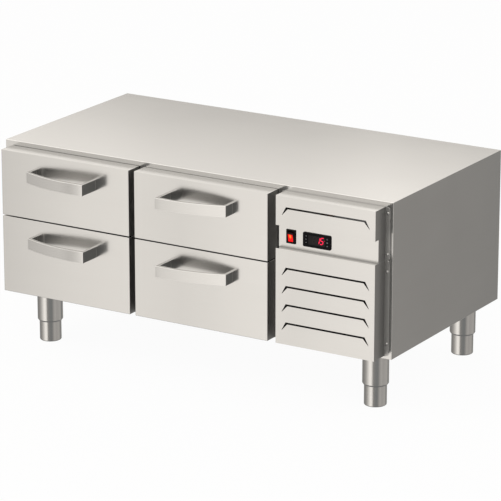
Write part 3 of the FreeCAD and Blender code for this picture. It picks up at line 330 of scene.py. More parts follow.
def build_floor():
    corners = [(x * FLOOR_REACH, y * FLOOR_REACH, 0) for x, y in ((-1, -1), (1, -1), (1, 1), (-1, 1))]
    mesh = drawn("floor", corners, faces=[(0, 1, 2, 3)])
    material, tree, shader = new_material("floor_paper", Base_Color=PAPER, Roughness=0.9)
    seen = add(tree, "ShaderNodeLightPath").outputs["Is Camera Ray"]
    share = math_of(tree, "MULTIPLY", seen, FLOOR_WHITE)
    mix = add(tree, "ShaderNodeMixShader", share, shader.outputs[0], add(tree, "ShaderNodeEmission").outputs[0])
    feed(tree, tree.nodes["Material Output"], [("Surface", mix.outputs[0])])
    mesh.materials.append(material)
    floor = shown("floor", mesh)
    floor.visible_glossy = False
    print("floor", 2 * FLOOR_REACH, "m wide")


build_floor()

# %% [markdown]
# Two large soft lamps stand in front, one on each side. They only light the object: the steel
# mirrors the tent, not the lamps.

# %% Lamps
def soft_box(name, place, aim, size, power):
    lamp = bpy.data.lights.new(name, "AREA")
    lamp.shape = "SQUARE"
    lamp.size = size
    lamp.energy = power
    box = bpy.data.objects.new(name, lamp)
    box.location = place
    box.rotation_euler = (Vector(aim) - Vector(place)).to_track_quat("-Z", "Y").to_euler()
    box.visible_glossy = False
    scene.collection.objects.link(box)
    print(name, power, "W")


soft_box("key_box", (-2.6, -3.0, 3.4), (0, 0, 0.3), 2.4, 55)
soft_box("fill_box", (3.2, -2.4, 2.2), (0, 0, 0.3), 2.0, 18)

# %% [markdown]
# ## Steel
# Stainless sheet is brushed in one direction. Seen from a step away the grain is a faint streaking,
# and the reflections are soft. Large sheets are never quite flat either, so the reflections swim
# a little. Along inward corners the colour is darkened as painted shade. Four node groups carry
# these effects, each with its own inputs, and each steel below places them with its own values.

# %% Shader groups
def new_inputs(tree, inputs):
    """Named inputs of a group. The kind of an input follows from its value, or is written out."""
    kinds = {tuple: "Vector", int: "Int", float: "Float"}
    names = {}
    for name, value in inputs.items():
        plain = not isinstance(value, str)
        kind = kinds[type(value)] if plain else value
        made = tree.interface.new_socket(name, in_out="INPUT", socket_type="NodeSocket" + kind)
        if plain:
            made.default_value = value
        names[name] = made.identifier
    return names


def new_group(name, outputs, **inputs):
    group = bpy.data.node_groups.new(name, "ShaderNodeTree")
    new_inputs(group, {"Place": (0.0, 0.0, 0.0), **inputs})
    for output in outputs:
        group.interface.new_socket(output, in_out="OUTPUT", socket_type="NodeSocketFloat")
    return group, group.nodes.new("NodeGroupInput").outputs, group.nodes.new("NodeGroupOutput")


def build_grain():
    """Streaks along one axis: Stretch holds the streaks per metre along X, Y and Z."""
    group, given, result = new_group("brushed grain", ("Streaks", "Level"), Stretch=(8.0, 500.0, 500.0),
                                     Low=0.0, High=1.0)
    stretched = add(group, "ShaderNodeMapping", Vector=given["Place"], Scale=given["Stretch"]).outputs[0]
    streaks = add(group, "ShaderNodeTexNoise", Vector=stretched, Scale=1.0, Detail=3.0, Roughness=0.62).outputs["Fac"]
    feed(group, result, [("Streaks", streaks),
                         ("Level", map_range(group, streaks, 0.3, 0.7, given["Low"], given["High"]))])
    return group


def build_warp():
    """The slow swells of a thin sheet, as a height in metres."""
    group, given, result = new_group("sheet swell", ("Height",), Swells=2.2, Depth=0.0006)
    noise = add(group, "ShaderNodeTexNoise", Vector=given["Place"], Scale=given["Swells"], Detail=1.0, Roughness=0.4)
    feed(group, result, [("Height", math_of(group, "MULTIPLY", noise.outputs["Fac"], given["Depth"]))])
    return group


def build_smudge():
    """Cloudy patches, as where a surface has been wiped or handled."""
    group, given, result = new_group("wiped patches", ("Level",), Patches=5.0, Low=0.0, High=1.0)
    noise = add(group, "ShaderNodeTexNoise", Vector=given["Place"], Scale=given["Patches"], Detail=4.0,
                Roughness=0.55, Distortion=0.3)
    feed(group, result, [("Level", map_range(group, noise.outputs["Fac"], 0.35, 0.65, given["Low"], given["High"]))])
    return group


def build_corner_shade():
    """Painted shade: a soft darkening of the colour along an inward corner that runs from left to right."""
    group, given, result = new_group("inner corner", ("Level",), Corner=(0.0, 0.0, 0.0), Reach=(1.0, 0.01, 0.004),
                                     Dimmed=0.6)
    away = vector_of(group, "SUBTRACT", given["Place"], given["Corner"])
    flat = vector_of(group, "MULTIPLY", vector_of(group, "DIVIDE", away, given["Reach"]), (0, 1, 1))
    far = vector_of(group, "LENGTH", flat)
    feed(group, result, [("Level", map_range(group, far, 0.0, 1.0, given["Dimmed"], smooth=True))])
    return group


GRAIN, WARP, SMUDGE, CORNER_SHADE = build_grain(), build_warp(), build_smudge(), build_corner_shade()
print([group.name for group in (GRAIN, WARP, SMUDGE, CORNER_SHADE)])


def place_group(tree, group, place, **values):
    return add(tree, "ShaderNodeGroup", node_tree=group, Place=place, **values).outputs


# %% Stainless steel
STEEL_COLOUR = (0.605, 0.60, 0.59)
GRAIN_DEPTH, GRAIN_SWING, TINT_SWING, COARSER = 0.000005, 0.02, 0.018, 7
# Painted shade along inward corners on the front: (y, z, reach back, reach up, how dim).
LEDGE_PAINTED_SHADE = (-0.2395, 0.557, 0.010, 0.004, 0.62)
STRIP_PAINTED_SHADE = (-0.2755, 0.4155, 0.016, 0.004, 0.68)


def painted_corner_shade(tree, place, colour, corners):
    """Darken a colour socket near each inward corner as painted shade, where little light gets in."""
    for y, z, back, up, level in corners:
        corner = place_group(tree, CORNER_SHADE, place, Corner=(0, y, z), Reach=(1, back, up), Dimmed=level)
        colour = vector_of(tree, "SCALE", colour, Scale=corner["Level"])
    return colour


def steel(name, stretch, shade=1.0, roughness=0.19, swell=0.0005, corners=()):
    """Brushed stainless steel with its grain along the axis that has the smallest stretch."""
    # shade scales the colour: copies below 1 are painted shade, copies above 1 painted highlight.
    dark, pale = [(*[c * shade * share for c in STEEL_COLOUR], 1) for share in (0.992, 1.008)]
    material, tree, shader = new_material(name, Metallic=1.0)
    place = object_place(tree)
    fine = place_group(tree, GRAIN, place, Stretch=stretch, Low=-GRAIN_SWING, High=GRAIN_SWING)
    coarse = place_group(tree, GRAIN, place, Stretch=[s / COARSER for s in stretch], Low=-TINT_SWING, High=TINT_SWING)
    patches = place_group(tree, SMUDGE, place, Patches=4.5, Low=roughness - 0.02, High=roughness + 0.03)
    tint = blended(tree, map_range(tree, coarse["Level"], -TINT_SWING, TINT_SWING), dark, pale)
    warp = place_group(tree, WARP, place, Swells=2.4, Depth=swell)
    swelling = add(tree, "ShaderNodeBump", Strength=1.0, Distance=1.0, Height=warp["Height"])
    brushed = add(tree, "ShaderNodeBump", Strength=1.0, Distance=GRAIN_DEPTH, Height=fine["Streaks"],
                  Normal=swelling.outputs["Normal"])
    feed(tree, shader, [("Base Color", painted_corner_shade(tree, place, tint, corners)), ("Normal", brushed.outputs["Normal"]),
                        ("Roughness", math_of(tree, "ADD", fine["Level"], patches["Level"]))])
    return material


ALONG_X, ALONG_Y, ROUND_Z = (7, 600, 600), (600, 7, 600), (9, 9, 700)
steel_front = steel("stainless_front", ALONG_X)
# The covers' colour carries painted shade along the ledge and strip corners.
steel_cover_shaded = steel("stainless_cover", ALONG_X, corners=(LEDGE_PAINTED_SHADE, STRIP_PAINTED_SHADE))
steel_top = steel("stainless_top", ALONG_X)
steel_side = steel("stainless_side", ALONG_Y)
steel_bar = steel("stainless_handle", ALONG_X, roughness=0.17, swell=0)
steel_tube = steel("stainless_tube", ROUND_Z, swell=0)
# A darker copy of the steel: painted shade on side returns and on the handles' right faces.
steel_return_shaded = steel("stainless_return", ROUND_Z, shade=0.62, roughness=0.40)
# A rougher copy of the steel, slightly darkened as painted shade, for the covers' flanges.
steel_flange_shaded = steel("stainless_flange", ROUND_Z, shade=0.95, roughness=0.44, swell=0)
# A brighter copy of the steel: painted highlight on the rounded folds.
steel_fold_highlighted = steel("stainless_fold", ALONG_X, shade=1.5, roughness=0.30, swell=0)
steel_liner = steel("stainless_liner", ALONG_X, roughness=0.30)
print(len(bpy.data.materials), "materials so far")

# %% [markdown]
# ## Other finishes
# Zinc-coated steel, rubber, moulded plastic, foam and copper. Each has its own grain or
# mottling, because a single flat colour looks like paint.

# %% Other finishes
def mottled(name, dark, pale, patches, rough_low, rough_high, bump=0.0, bump_scale=400, **values):
    """A finish that varies between two colours and two roughnesses, with an optional fine bump."""
    material, tree, shader = new_material(name, **values)
    place = object_place(tree)
    cloud = place_group(tree, SMUDGE, place, Patches=patches)["Level"]
    feed(tree, shader, [("Base Color", blended(tree, cloud, (*dark, 1), (*pale, 1))),
                        ("Roughness", map_range(tree, cloud, 0.0, 1.0, rough_low, rough_high))])
    if bump:
        noise = add(tree, "ShaderNodeTexNoise", Vector=place, Scale=bump_scale, Detail=2.0)
        raised = add(tree, "ShaderNodeBump", Strength=1.0, Distance=bump, Height=noise.outputs["Fac"])
        feed(tree, shader, [("Normal", raised.outputs[0])])
    return material


zinc = mottled("zinc_plate", (0.50, 0.52, 0.54), (0.64, 0.65, 0.66), 38, 0.30, 0.46, Metallic=1.0)
rubber = mottled("pale_rubber", (0.58, 0.58, 0.575), (0.66, 0.66, 0.655), 20, 0.50, 0.62, bump=0.00004)
gloss_black = mottled("gloss_black_plastic", (0.0016, 0.0016, 0.0024), (0.003, 0.003, 0.0045), 60, 0.24, 0.34,
                      bump=0.000004, bump_scale=900, Specular_IOR_Level=0.08)
coil_black = mottled("painted_fins", (0.016, 0.016, 0.016), (0.03, 0.03, 0.03), 60, 0.5, 0.7)
matte_black = mottled("matte_black_plastic", (0.02, 0.02, 0.02), (0.03, 0.03, 0.03), 40, 0.5, 0.62,
                      bump=0.00003, bump_scale=1500)
shell_black = mottled("black_enamel", (0.012, 0.012, 0.012), (0.02, 0.02, 0.02), 12, 0.28, 0.4,
                      bump=0.00005, bump_scale=260)
foam_yellow = mottled("rigid_foam", (0.62, 0.52, 0.28), (0.74, 0.64, 0.38), 30, 0.8, 0.95,
                      bump=0.0003, bump_scale=180)
copper = mottled("copper_tube", (0.62, 0.29, 0.18), (0.78, 0.42, 0.28), 14, 0.22, 0.38, Metallic=1.0)
fin_metal = mottled("aluminium_fins", (0.70, 0.71, 0.72), (0.80, 0.81, 0.82), 30, 0.30, 0.42, Metallic=1.0)
key_plastic = mottled("key_plastic", (0.012, 0.012, 0.014), (0.018, 0.018, 0.020), 90, 0.4, 0.5,
                      bump=0.00001, bump_scale=2500, Specular_IOR_Level=0.15)
print(len(bpy.data.materials), "materials so far")

# %% [markdown]
# ## Finishes on the construction
# Each sub-part gets its finish first. Where a shape below replaces a sub-part, it takes
# over the same finish or a finer one.

# %% Finish of every node
FINISHES = {
    "top_panel": steel_top, "left_side_panel": steel_side, "right_side_panel": steel_side,
    "back_panel": zinc, "bottom_panel": zinc, "front_frame": steel_front, "bulkhead_panel": zinc,
    "cabinet_insulation": foam_yellow, "inner_liner": steel_side, "evaporator_housing": steel_side,
    "fixed_slide_rails": zinc, "upper_cover": steel_front, "lower_cover": steel_front,
    "cover_screws": steel_tube, "switch_housing": gloss_black, "controller_body": gloss_black,
    "controller_window": gloss_black, "leg_sockets": steel_tube, "condenser_coil": coil_black,
    "condenser_fan_motor": zinc, "compressor": shell_black, "condensate_tray": steel_side,
    "cord_gland": matte_black, "evaporator_coil": fin_metal, "evaporator_fan_motor": matte_black,
    "refrigerant_pipes": copper, "switch_rocker": gloss_black,
    "condenser_fan_blade": matte_black, "evaporator_fan_blade": matte_black,
}
KEYS = ("key_up", "key_set", "key_down")
FINISHES.update(dict.fromkeys(KEYS, key_plastic))
for corner in ("front_left", "front_right", "rear_left", "rear_right"):
    FINISHES[corner + "_foot"] = steel_tube
DRAWERS = [f"{level}_{side}_drawer" for side in ("left", "right") for level in ("upper", "lower")]
for part, finish in (("front", steel_front), ("core", steel_liner), ("gasket", rubber), ("handle", steel_bar),
                     ("frame", steel_side), ("middle_rails", zinc)):
    for drawer in DRAWERS:
        FINISHES[f"{drawer}_{part}"] = finish
for name, node in nodes.items():
    node.material_slots[0].material = FINISHES[name]
print("finished", len(FINISHES), "nodes")

# %% [markdown]
# ## Folded edges
# Sheet steel is bent over a tool, so no outer corner is sharp. Each fold catches the light as a
# thin bright line, and without those lines a cabinet looks like cardboard. The rounded folds are
# also given a brighter copy of the steel, a painted highlight. The construction has sharp
# corners, so each panel is copied, its folds are rounded, and the copy takes its place.
# A fold is told from a cut edge by its two faces: both reach well away from the edge.

# %% Placing a piece
CREASE = 35


def placed(name, mesh, node, instead=True):
    """Show a mesh as a piece that belongs to a node, and stands instead of it or beside it."""
    piece = shown(name, mesh)
    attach(piece, nodes[node]["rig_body"])
    if instead:
        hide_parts(node)
    print(name, len(mesh.polygons), "faces")
    return piece


def softened(mesh, crease):
    """Smooth shading, apart from edges that are sharper than the crease angle."""
    mesh.shade_smooth()
    mesh.set_sharp_from_angle(angle=math.radians(crease))


def finished(name, bm, materials, node, instead=True):
    """Turn a bmesh into a piece of the object. Large faces decide the shading of the small ones."""
    mesh = mesh_of(name, bm)
    for material in materials:
        mesh.materials.append(material)
    softened(mesh, CREASE)
    raw = shown(name + "_raw", mesh)
    weigh = raw.modifiers.new("weigh", "WEIGHTED_NORMAL")
    weigh.keep_sharp = True
    weighted = settled(raw)
    bpy.data.objects.remove(raw)
    bpy.data.meshes.remove(mesh)
    weighted.name = name
    return placed(name, weighted, node, instead)


# %% Rounding helper
TOUCHING, FLAT_ANGLE, FOLD_ANGLE = 1e-6, 0.5, 50


def reach(face, edge):
    """How far a face extends away from an edge."""
    start = edge.verts[0].co
    along = (edge.verts[1].co - start).normalized()
    return max(((v.co - start) - along * (v.co - start).dot(along)).length for v in face.verts)


def welded(node):
    """A node's mesh with its loose triangles joined and its flat faces merged."""
    bm = bmesh.new()
    bm.from_mesh(nodes[node].data)
    bmesh.ops.remove_doubles(bm, verts=bm.verts, dist=TOUCHING)
    bmesh.ops.dissolve_limit(bm, angle_limit=math.radians(FLAT_ANGLE), verts=bm.verts, edges=bm.edges)
    return bm


def cut_across(bm, places):
    """Score a mesh across its width, so that it has corners to bend at."""
    for place in places:
        bmesh.ops.bisect_plane(bm, geom=bm.verts[:] + bm.edges[:] + bm.faces[:], plane_co=(place, 0, 0),
                               plane_no=(1, 0, 0))


def sideways(face):
    return abs(face.normal.x) > 0.9


def rounded(node, material, fold, deep=0.004, faces=(), cuts=(), suffix="_folded", bend=None):
    """A copy of a node with rounded folds. Each entry of faces is a test and the finish it gives."""
    bm = welded(node)
    folds = [e for e in bm.edges if len(e.link_faces) == 2 and e.is_convex
             and e.calc_face_angle() > math.radians(FOLD_ANGLE) and min(reach(f, e) for f in e.link_faces) > deep]
    bmesh.ops.bevel(bm, geom=folds, offset=fold, segments=3, profile=0.5, affect="EDGES",
                    clamp_overlap=True, material=1)
    for number, (wanted, _) in enumerate(faces, start=2):
        for face in bm.faces:
            if face.material_index == 0 and wanted(face):
                face.material_index = number
    cut_across(bm, cuts)
    # Rounded folds take the steel with painted highlight, unless another finish is given.
    materials = [material, bend or steel_fold_highlighted] + [finish for _, finish in faces]
    return finished(node + suffix, bm, materials, node)


# %% [markdown]
# A sheet that is welded into a box pulls itself slightly crowned. The outline stays straight, but
# the reflections slide from one edge to the other. Turning only the shading normals gives
# that, at the cost of no extra faces: each station says how far the surface is turned there.

# %% Crowned sheets
def between(stations, at):
    """The value at a place between stations of (place, value)."""
    for (a, low), (b, high) in zip(stations, stations[1:]):
        if at <= b:
            return low + (high - low) * max(at - a, 0) / (b - a)
    return stations[-1][1]


def crown(piece, stations, share=1.0, facing=0.999):
    """Turn the normals of the faces that look forwards, by degrees given across the width."""
    mesh = piece.data
    across = [v.co.x for v in mesh.vertices]
    low, wide = min(across), max(across) - min(across)
    normals = [Vector(n.vector) for n in mesh.corner_normals]
    for face in mesh.polygons:
        if face.normal.y > -facing:
            continue
        for corner in face.loop_indices:
            at = (mesh.vertices[mesh.loops[corner].vertex_index].co.x - low) / wide
            angle = math.radians(between(stations, at))
            wanted = Vector((math.sin(angle), -math.cos(angle), 0))
            normals[corner] = normals[corner].lerp(wanted, share).normalized()
    mesh.normals_split_custom_set(normals)


def stations_in(node, stations):
    low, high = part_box(node)
    return [low.x + (high.x - low.x) * at for at, _ in stations[1:-1]]


LEFT_CROWN = ((0, -1.4), (0.3, 0.2), (0.6, 1.6), (1, 1.9))
RIGHT_CROWN = ((0, 1.1), (0.35, -0.2), (0.7, 1.2), (1, 2.1))
COVER_CROWN = ((0, 0.8), (0.2, -0.3), (0.6, 0.4), (1, 1.1))

# %% Rounded panels
FACE_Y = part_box("front_frame")[0].y
COVER_LEFT, COVER_RIGHT, FLANGE_DEEP = 0.2855, 0.578, 0.004
TOP_FOLD, SIDE_FOLD, FRONT_FOLD, COVER_FOLD, FRAME_FOLD, CORE_FOLD, HANDLE_EDGE = (
    0.0022, 0.0024, 0.0022, 0.0010, 0.0008, 0.0014, 0.0007)


def on_flange(face):
    """The flanges of a cover, which lie on the cabinet's face."""
    middle = face.calc_center_median()
    return middle.y > FACE_Y - FLANGE_DEEP and not COVER_LEFT < middle.x < COVER_RIGHT and face.normal.y < -0.5


def looks_right(face):
    return face.normal.x > 0.8


rounded("top_panel", steel_top, TOP_FOLD)
rounded("right_side_panel", steel_side, SIDE_FOLD)
rounded("left_side_panel", steel_side, SIDE_FOLD)
rounded("front_frame", steel_front, FRAME_FOLD)
# The covers' side returns take the steel with painted shade; the flanges take a slightly darker, rougher copy.
for node in ("upper_cover", "lower_cover"):
    crown(rounded(node, steel_cover_shaded, COVER_FOLD, faces=((sideways, steel_return_shaded), (on_flange, steel_flange_shaded)),
                  cuts=stations_in(node, COVER_CROWN)), COVER_CROWN)
HANDLE_LEFT = ((0, -3.6), (0.62, -3.8), (0.8, -7.6), (0.9, -4), (1, 2.2))
HANDLE_RIGHT = ((0, -3.5), (0.1, -0.8), (1, 0.2))
# The fronts' side returns and the handles' right-looking faces take the steel with painted shade.
for drawer in DRAWERS:
    left = "left" in drawer
    stations = LEFT_CROWN if left else RIGHT_CROWN
    crown(rounded(drawer + "_front", steel_front, FRONT_FOLD, faces=((sideways, steel_return_shaded),),
                  cuts=stations_in(drawer + "_front", stations)), stations)
    crown(rounded(drawer + "_handle", steel_bar, HANDLE_EDGE, faces=((looks_right, steel_return_shaded),)),
          HANDLE_LEFT if left else HANDLE_RIGHT, share=0.8, facing=0.85)
    rounded(drawer + "_core", steel_liner, CORE_FOLD, suffix="_pressed")

# %% [markdown]
# ## Cover screws
# Pan-head screws hold both covers through their flanges. One screw is turned on a lathe, in
# effect: an outline spun round its axis, with a cross cut into the head. A Geometry Nodes tree then
# sets a copy at each hole and turns every copy differently, as a hand-driven screw would stand.

# %% Geometry Nodes helpers
def new_tree(name, **inputs):
    """A Geometry Nodes tree with named inputs: the tree, its inputs' identifiers and both ends."""
    tree = bpy.data.node_groups.new(name, "GeometryNodeTree")
    names = new_inputs(tree, {"Geometry": "Geometry", **inputs, "Finish": "Material"})
    tree.interface.new_socket("Geometry", in_out="OUTPUT", socket_type="NodeSocketGeometry")
    return tree, names, tree.nodes.new("NodeGroupInput").outputs, tree.nodes.new("NodeGroupOutput")


def end_tree(tree, given, result, geometry):
    """Every tree here ends in real faces with a finish."""
    real = add(tree, "GeometryNodeRealizeInstances", Geometry=geometry).outputs["Geometry"]
    finish = add(tree, "GeometryNodeSetMaterial", Geometry=real, Material=given["Finish"])
    feed(tree, result, [("Geometry", finish.outputs["Geometry"])])


def grown(name, mesh, tree, names, **values):
    """Run a tree on a mesh and return what grows from it, as plain mesh data."""
    seed = shown(name, mesh)
    modifier = seed.modifiers.new("grow", "NODES")
    modifier.node_group = tree
    for socket, value in values.items():
        modifier[names[socket]] = value
    made = settled(seed)
    bpy.data.objects.remove(seed)
    made.name = name
    return made


# %% One screw
HEAD_RADIUS, HEAD_RISE, SHANK_RADIUS, SHANK_LENGTH = 0.004, 0.0026, 0.0017, 0.008
CROSS_REACH, CROSS_HALF, CROSS_DEEP, SCREW_CREASE = 0.0021, 0.00048, 0.0013, 32


def spun(outline, steps):
    """Spin an outline of (radius, height) pairs round the Y axis. Height runs towards the viewer."""
    bm = bmesh.new()
    rings = []
    for radius, height in outline:
        turns = [2 * math.pi * i / steps for i in range(steps)] if radius else [0]
        rings.append([bm.verts.new((radius * math.cos(turn), -height, radius * math.sin(turn))) for turn in turns])
    for one, two in zip(rings, rings[1:]):
        for i in range(steps):
            j = (i + 1) % steps
            corners = [one[i % len(one)], one[j % len(one)], two[j % len(two)], two[i % len(two)]]
            bm.faces.new(list(dict.fromkeys(corners)))
    bmesh.ops.recalc_face_normals(bm, faces=bm.faces)
    return bm


def build_screw():
    body = spun(((0, HEAD_RISE), (0.0018, HEAD_RISE - 0.00015), (0.0030, HEAD_RISE - 0.0006),
                 (0.0037, HEAD_RISE - 0.0013), (HEAD_RADIUS, 0.0006), (HEAD_RADIUS - 0.0002, 0),
                 (SHANK_RADIUS, 0), (SHANK_RADIUS, 0.0012 - SHANK_LENGTH), (0, -SHANK_LENGTH)), steps=28)
    cutter = bmesh.new()
    for wide, high in ((CROSS_REACH, CROSS_HALF), (CROSS_HALF, CROSS_REACH)):
        bmesh.ops.create_cube(cutter, size=2, matrix=Matrix.Diagonal((wide, CROSS_DEEP, high, 1)))
    bmesh.ops.translate(cutter, verts=cutter.verts, vec=(0, -HEAD_RISE, 0))
    screw = shown("screw_pattern", mesh_of("screw_pattern", body))
    cross = shown("screw_cross", mesh_of("screw_cross", cutter))
    cut = screw.modifiers.new("cross", "BOOLEAN")
    cut.operation, cut.object, cut.solver, cut.use_self = "DIFFERENCE", cross, "EXACT", True
    mesh = settled(screw)
    screw.modifiers.clear()
    screw.data = mesh
    bpy.data.objects.remove(cross)
    softened(mesh, SCREW_CREASE)
    return screw


# %% Screws at their holes
def screw_tree():
    tree, names, given, result = new_tree("set screws", Screw="Object", Seed=3)
    screw = add(tree, "GeometryNodeObjectInfo", Object=given["Screw"]).outputs["Geometry"]
    turn = add(tree, "FunctionNodeRandomValue", data_type="FLOAT", Max=math.pi / 2, Seed=given["Seed"])
    aim = add(tree, "ShaderNodeCombineXYZ", Y=next(o for o in turn.outputs if o.enabled))
    copies = add(tree, "GeometryNodeInstanceOnPoints", Points=given["Geometry"], Instance=screw,
                 Rotation=aim.outputs[0])
    end_tree(tree, given, result, copies.outputs["Instances"])
    return tree, names


SHEET = 0.001
FLANGE_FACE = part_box("upper_cover")[1].y - SHEET
HOLES_ACROSS, HOLES_UP = (0.2785, 0.585), (0.540, 0.4315, 0.3855, 0.192)
SCREW_PLACES = [(x, FLANGE_FACE, z) for x in HOLES_ACROSS for z in HOLES_UP]
screw = build_screw()
heads = grown("cover_screw_heads", drawn("screw_holes", SCREW_PLACES), *screw_tree(), Screw=screw,
              Finish=steel_tube, Seed=3)
placed("cover_screw_heads", heads, "cover_screws")
bpy.data.objects.remove(screw)

# %% [markdown]
# ## Gaskets
# A drawer seals against the cabinet with a soft hollow profile: a foot that clips into the front,
# two folds that give, and a head with a magnet. The same profile runs once round every front,
# so a Geometry Nodes tree sweeps it along a rectangle with round corners.

# %% Gasket profile
GASKET_WIDE, GASKET_CORNER, GASKET_CREASE = 0.016, 0.009, 50
# Half of the outline in millimetres: how far it stands out, and how far it reaches across.
GASKET_HALF = ((0.0, 8.0), (1.6, 8.0), (2.2, 5.6), (3.2, 5.0), (4.4, 6.2), (5.4, 7.4), (6.2, 7.4), (7.2, 6.0),
               (8.2, 5.2), (8.8, 7.2), (9.6, 7.8), (10.9, 7.8), (11.6, 7.2), (11.7, 6.0))


def gasket_profile():
    """The closed outline across the gasket, as edges: X is across, Y is how far it stands out."""
    right = [(wide / 1000, deep / 1000) for deep, wide in GASKET_HALF]
    points = right + [(-x, y) for x, y in reversed(right)]
    edges = [(i, (i + 1) % len(points)) for i in range(len(points))]
    return shown("gasket_profile", drawn("gasket_profile", [(x, y, 0) for x, y in points], edges))


# %% Gasket tree
def gasket_tree():
    tree, names, given, result = new_tree("swept gasket", Profile="Object", Width=0.4, Height=0.2, Corner=0.01,
                                          Middle=(0.0, 0.0, 0.0))
    loop = add(tree, "GeometryNodeCurvePrimitiveQuadrilateral", Width=given["Width"], Height=given["Height"])
    soft = add(tree, "GeometryNodeFilletCurve", mode="POLY", Count=5, Curve=loop.outputs["Curve"],
               Radius=given["Corner"])
    source = add(tree, "GeometryNodeObjectInfo", Object=given["Profile"])
    outline = add(tree, "GeometryNodeMeshToCurve", Mesh=source.outputs["Geometry"])
    sweep = add(tree, "GeometryNodeCurveToMesh", Curve=soft.outputs["Curve"], Profile_Curve=outline.outputs["Curve"])
    stand = add(tree, "GeometryNodeTransform", Geometry=sweep.outputs["Mesh"], Translation=given["Middle"],
                Rotation=(-math.pi / 2, 0, 0))
    end_tree(tree, given, result, stand.outputs["Geometry"])
    return tree, names


def outward(mesh):
    """Join doubled points and point every face outwards."""
    bm = bmesh.new()
    bm.from_mesh(mesh)
    bmesh.ops.remove_doubles(bm, verts=bm.verts, dist=TOUCHING)
    bmesh.ops.recalc_face_normals(bm, faces=bm.faces)
    bm.to_mesh(mesh)
    bm.free()


# %% Gaskets on their fronts
profile = gasket_profile()
tree, names = gasket_tree()
for drawer in DRAWERS:
    node = drawer + "_gasket"
    low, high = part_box(node)
    mesh = grown(node + "_bellows", bpy.data.meshes.new("start"), tree, names, Profile=profile, Finish=rubber,
                 Width=high.x - low.x - GASKET_WIDE, Height=high.z - low.z - GASKET_WIDE, Corner=GASKET_CORNER,
                 Middle=((low.x + high.x) / 2, low.y, (low.z + high.z) / 2))
    outward(mesh)
    softened(mesh, GASKET_CREASE)
    ends = [[f([v.co[i] for v in mesh.vertices]) for i in range(3)] for f in (min, max)]
    print("off the seal's box by", [round(1000 * (a - b), 2) for a, b in zip(ends[0] + ends[1], [*low, *high])])
    placed(node + "_bellows", mesh, node)
bpy.data.objects.remove(profile)

# %% [markdown]
# ## Coils
# Both coils are tubes that run to and fro through a pack of thin aluminium fins, between two end
# plates. One tree sets the fins in a row, and another gives the tubes their thickness along
# their path.

# %% Fin and tube trees
def fin_tree():
    tree, names, given, result = new_tree("fin pack", Fin=(0.1, 0.1, 0.1), Count=10, First=(0.0, 0.0, 0.0),
                                          Step=(0.003, 0.0, 0.0))
    fin = add(tree, "GeometryNodeMeshCube", Size=given["Fin"])
    row = add(tree, "GeometryNodeMeshLine", mode="OFFSET", Count=given["Count"], Start_Location=given["First"],
              Offset=given["Step"])
    copies = add(tree, "GeometryNodeInstanceOnPoints", Points=row.outputs["Mesh"], Instance=fin.outputs["Mesh"])
    end_tree(tree, given, result, copies.outputs["Instances"])
    return tree, names


def tube_tree():
    tree, names, given, result = new_tree("bent tube", Radius=0.004)
    path = add(tree, "GeometryNodeMeshToCurve", Mesh=given["Geometry"])
    ring = add(tree, "GeometryNodeCurvePrimitiveCircle", mode="RADIUS", Resolution=14, Radius=given["Radius"])
    sweep = add(tree, "GeometryNodeCurveToMesh", Curve=path.outputs["Curve"], Profile_Curve=ring.outputs["Curve"])
    end_tree(tree, given, result, sweep.outputs["Mesh"])
    return tree, names


# %% Condenser and evaporator
BEND_REACH, BEND_HALF, TUBE, PLATE = 0.008, 0.008, 0.00395, 0.002
FIN_HALF, FIN_THICK, BEND_PIECES = 0.022, 0.0003, 8
CONDENSER_UNDER, EVAPORATOR_TALL, COIL_TOP = 0.023, 0.150, 0.006
CONDENSER_PITCH, EVAPORATOR_PITCH = 0.0032, 0.0045
FINS, TUBES = fin_tree(), tube_tree()


def coil(node, along, fin_low, fin_high, rows, pitch, finish):
    """Fins, end plates and tubes in place of a coil. The tubes run along axis 0 or 1."""
    low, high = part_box(node)
    middle = (low + high) / 2

    def at(u, v, z):
        return Vector((u, v, z)) if along == 0 else Vector((v, u, z))

    first, last, across = low[along] + BEND_REACH, high[along] - BEND_REACH, middle[1 - along]
    count = int((last - first - 2 * PLATE) / pitch)
    start = (first + last - (count - 1) * pitch) / 2
    pack = grown(node + "_pack", bpy.data.meshes.new("start"), *FINS, Count=count, Finish=finish,
                 Fin=at(FIN_THICK, 2 * FIN_HALF, fin_high - fin_low), Step=at(pitch, 0, 0),
                 First=at(start, across, (fin_low + fin_high) / 2))
    bm = bmesh.new()
    bm.from_mesh(pack)
    for near, far in ((first, first + PLATE), (last - PLATE, last)):
        made = bmesh.ops.create_cube(bm, size=1)["verts"]
        size = at(far - near, high[1 - along] - low[1 - along], high.z - low.z)
        for vert in made:
            vert.co = Vector(a * b for a, b in zip(vert.co, size)) + at((near + far) / 2, across, middle.z)
    bmesh.ops.recalc_face_normals(bm, faces=bm.faces)
    finished(node + "_fins", bm, [finish], node)

    points, edges = [], []
    for row in range(rows):
        z = fin_low + (fin_high - fin_low) * (row + 0.5) / rows
        loop = []
        for end, sign in ((last, 1), (first, -1)):
            for i in range(BEND_PIECES + 1):
                turn = math.pi * i / BEND_PIECES
                loop.append(at(end + sign * (BEND_REACH - TUBE - 0.00005) * math.sin(turn),
                               across + sign * BEND_HALF * math.cos(turn), z))
        edges += [(len(points) + i, len(points) + (i + 1) % len(loop)) for i in range(len(loop))]
        points += loop
    path = drawn(node + "_path", points, edges)
    pipes = grown(node + "_tubes", path, *TUBES, Radius=TUBE, Finish=copper)
    outward(pipes)
    pipes.shade_smooth()
    placed(node + "_tubes", pipes, node, instead=False)
    print(node, count, "fins")


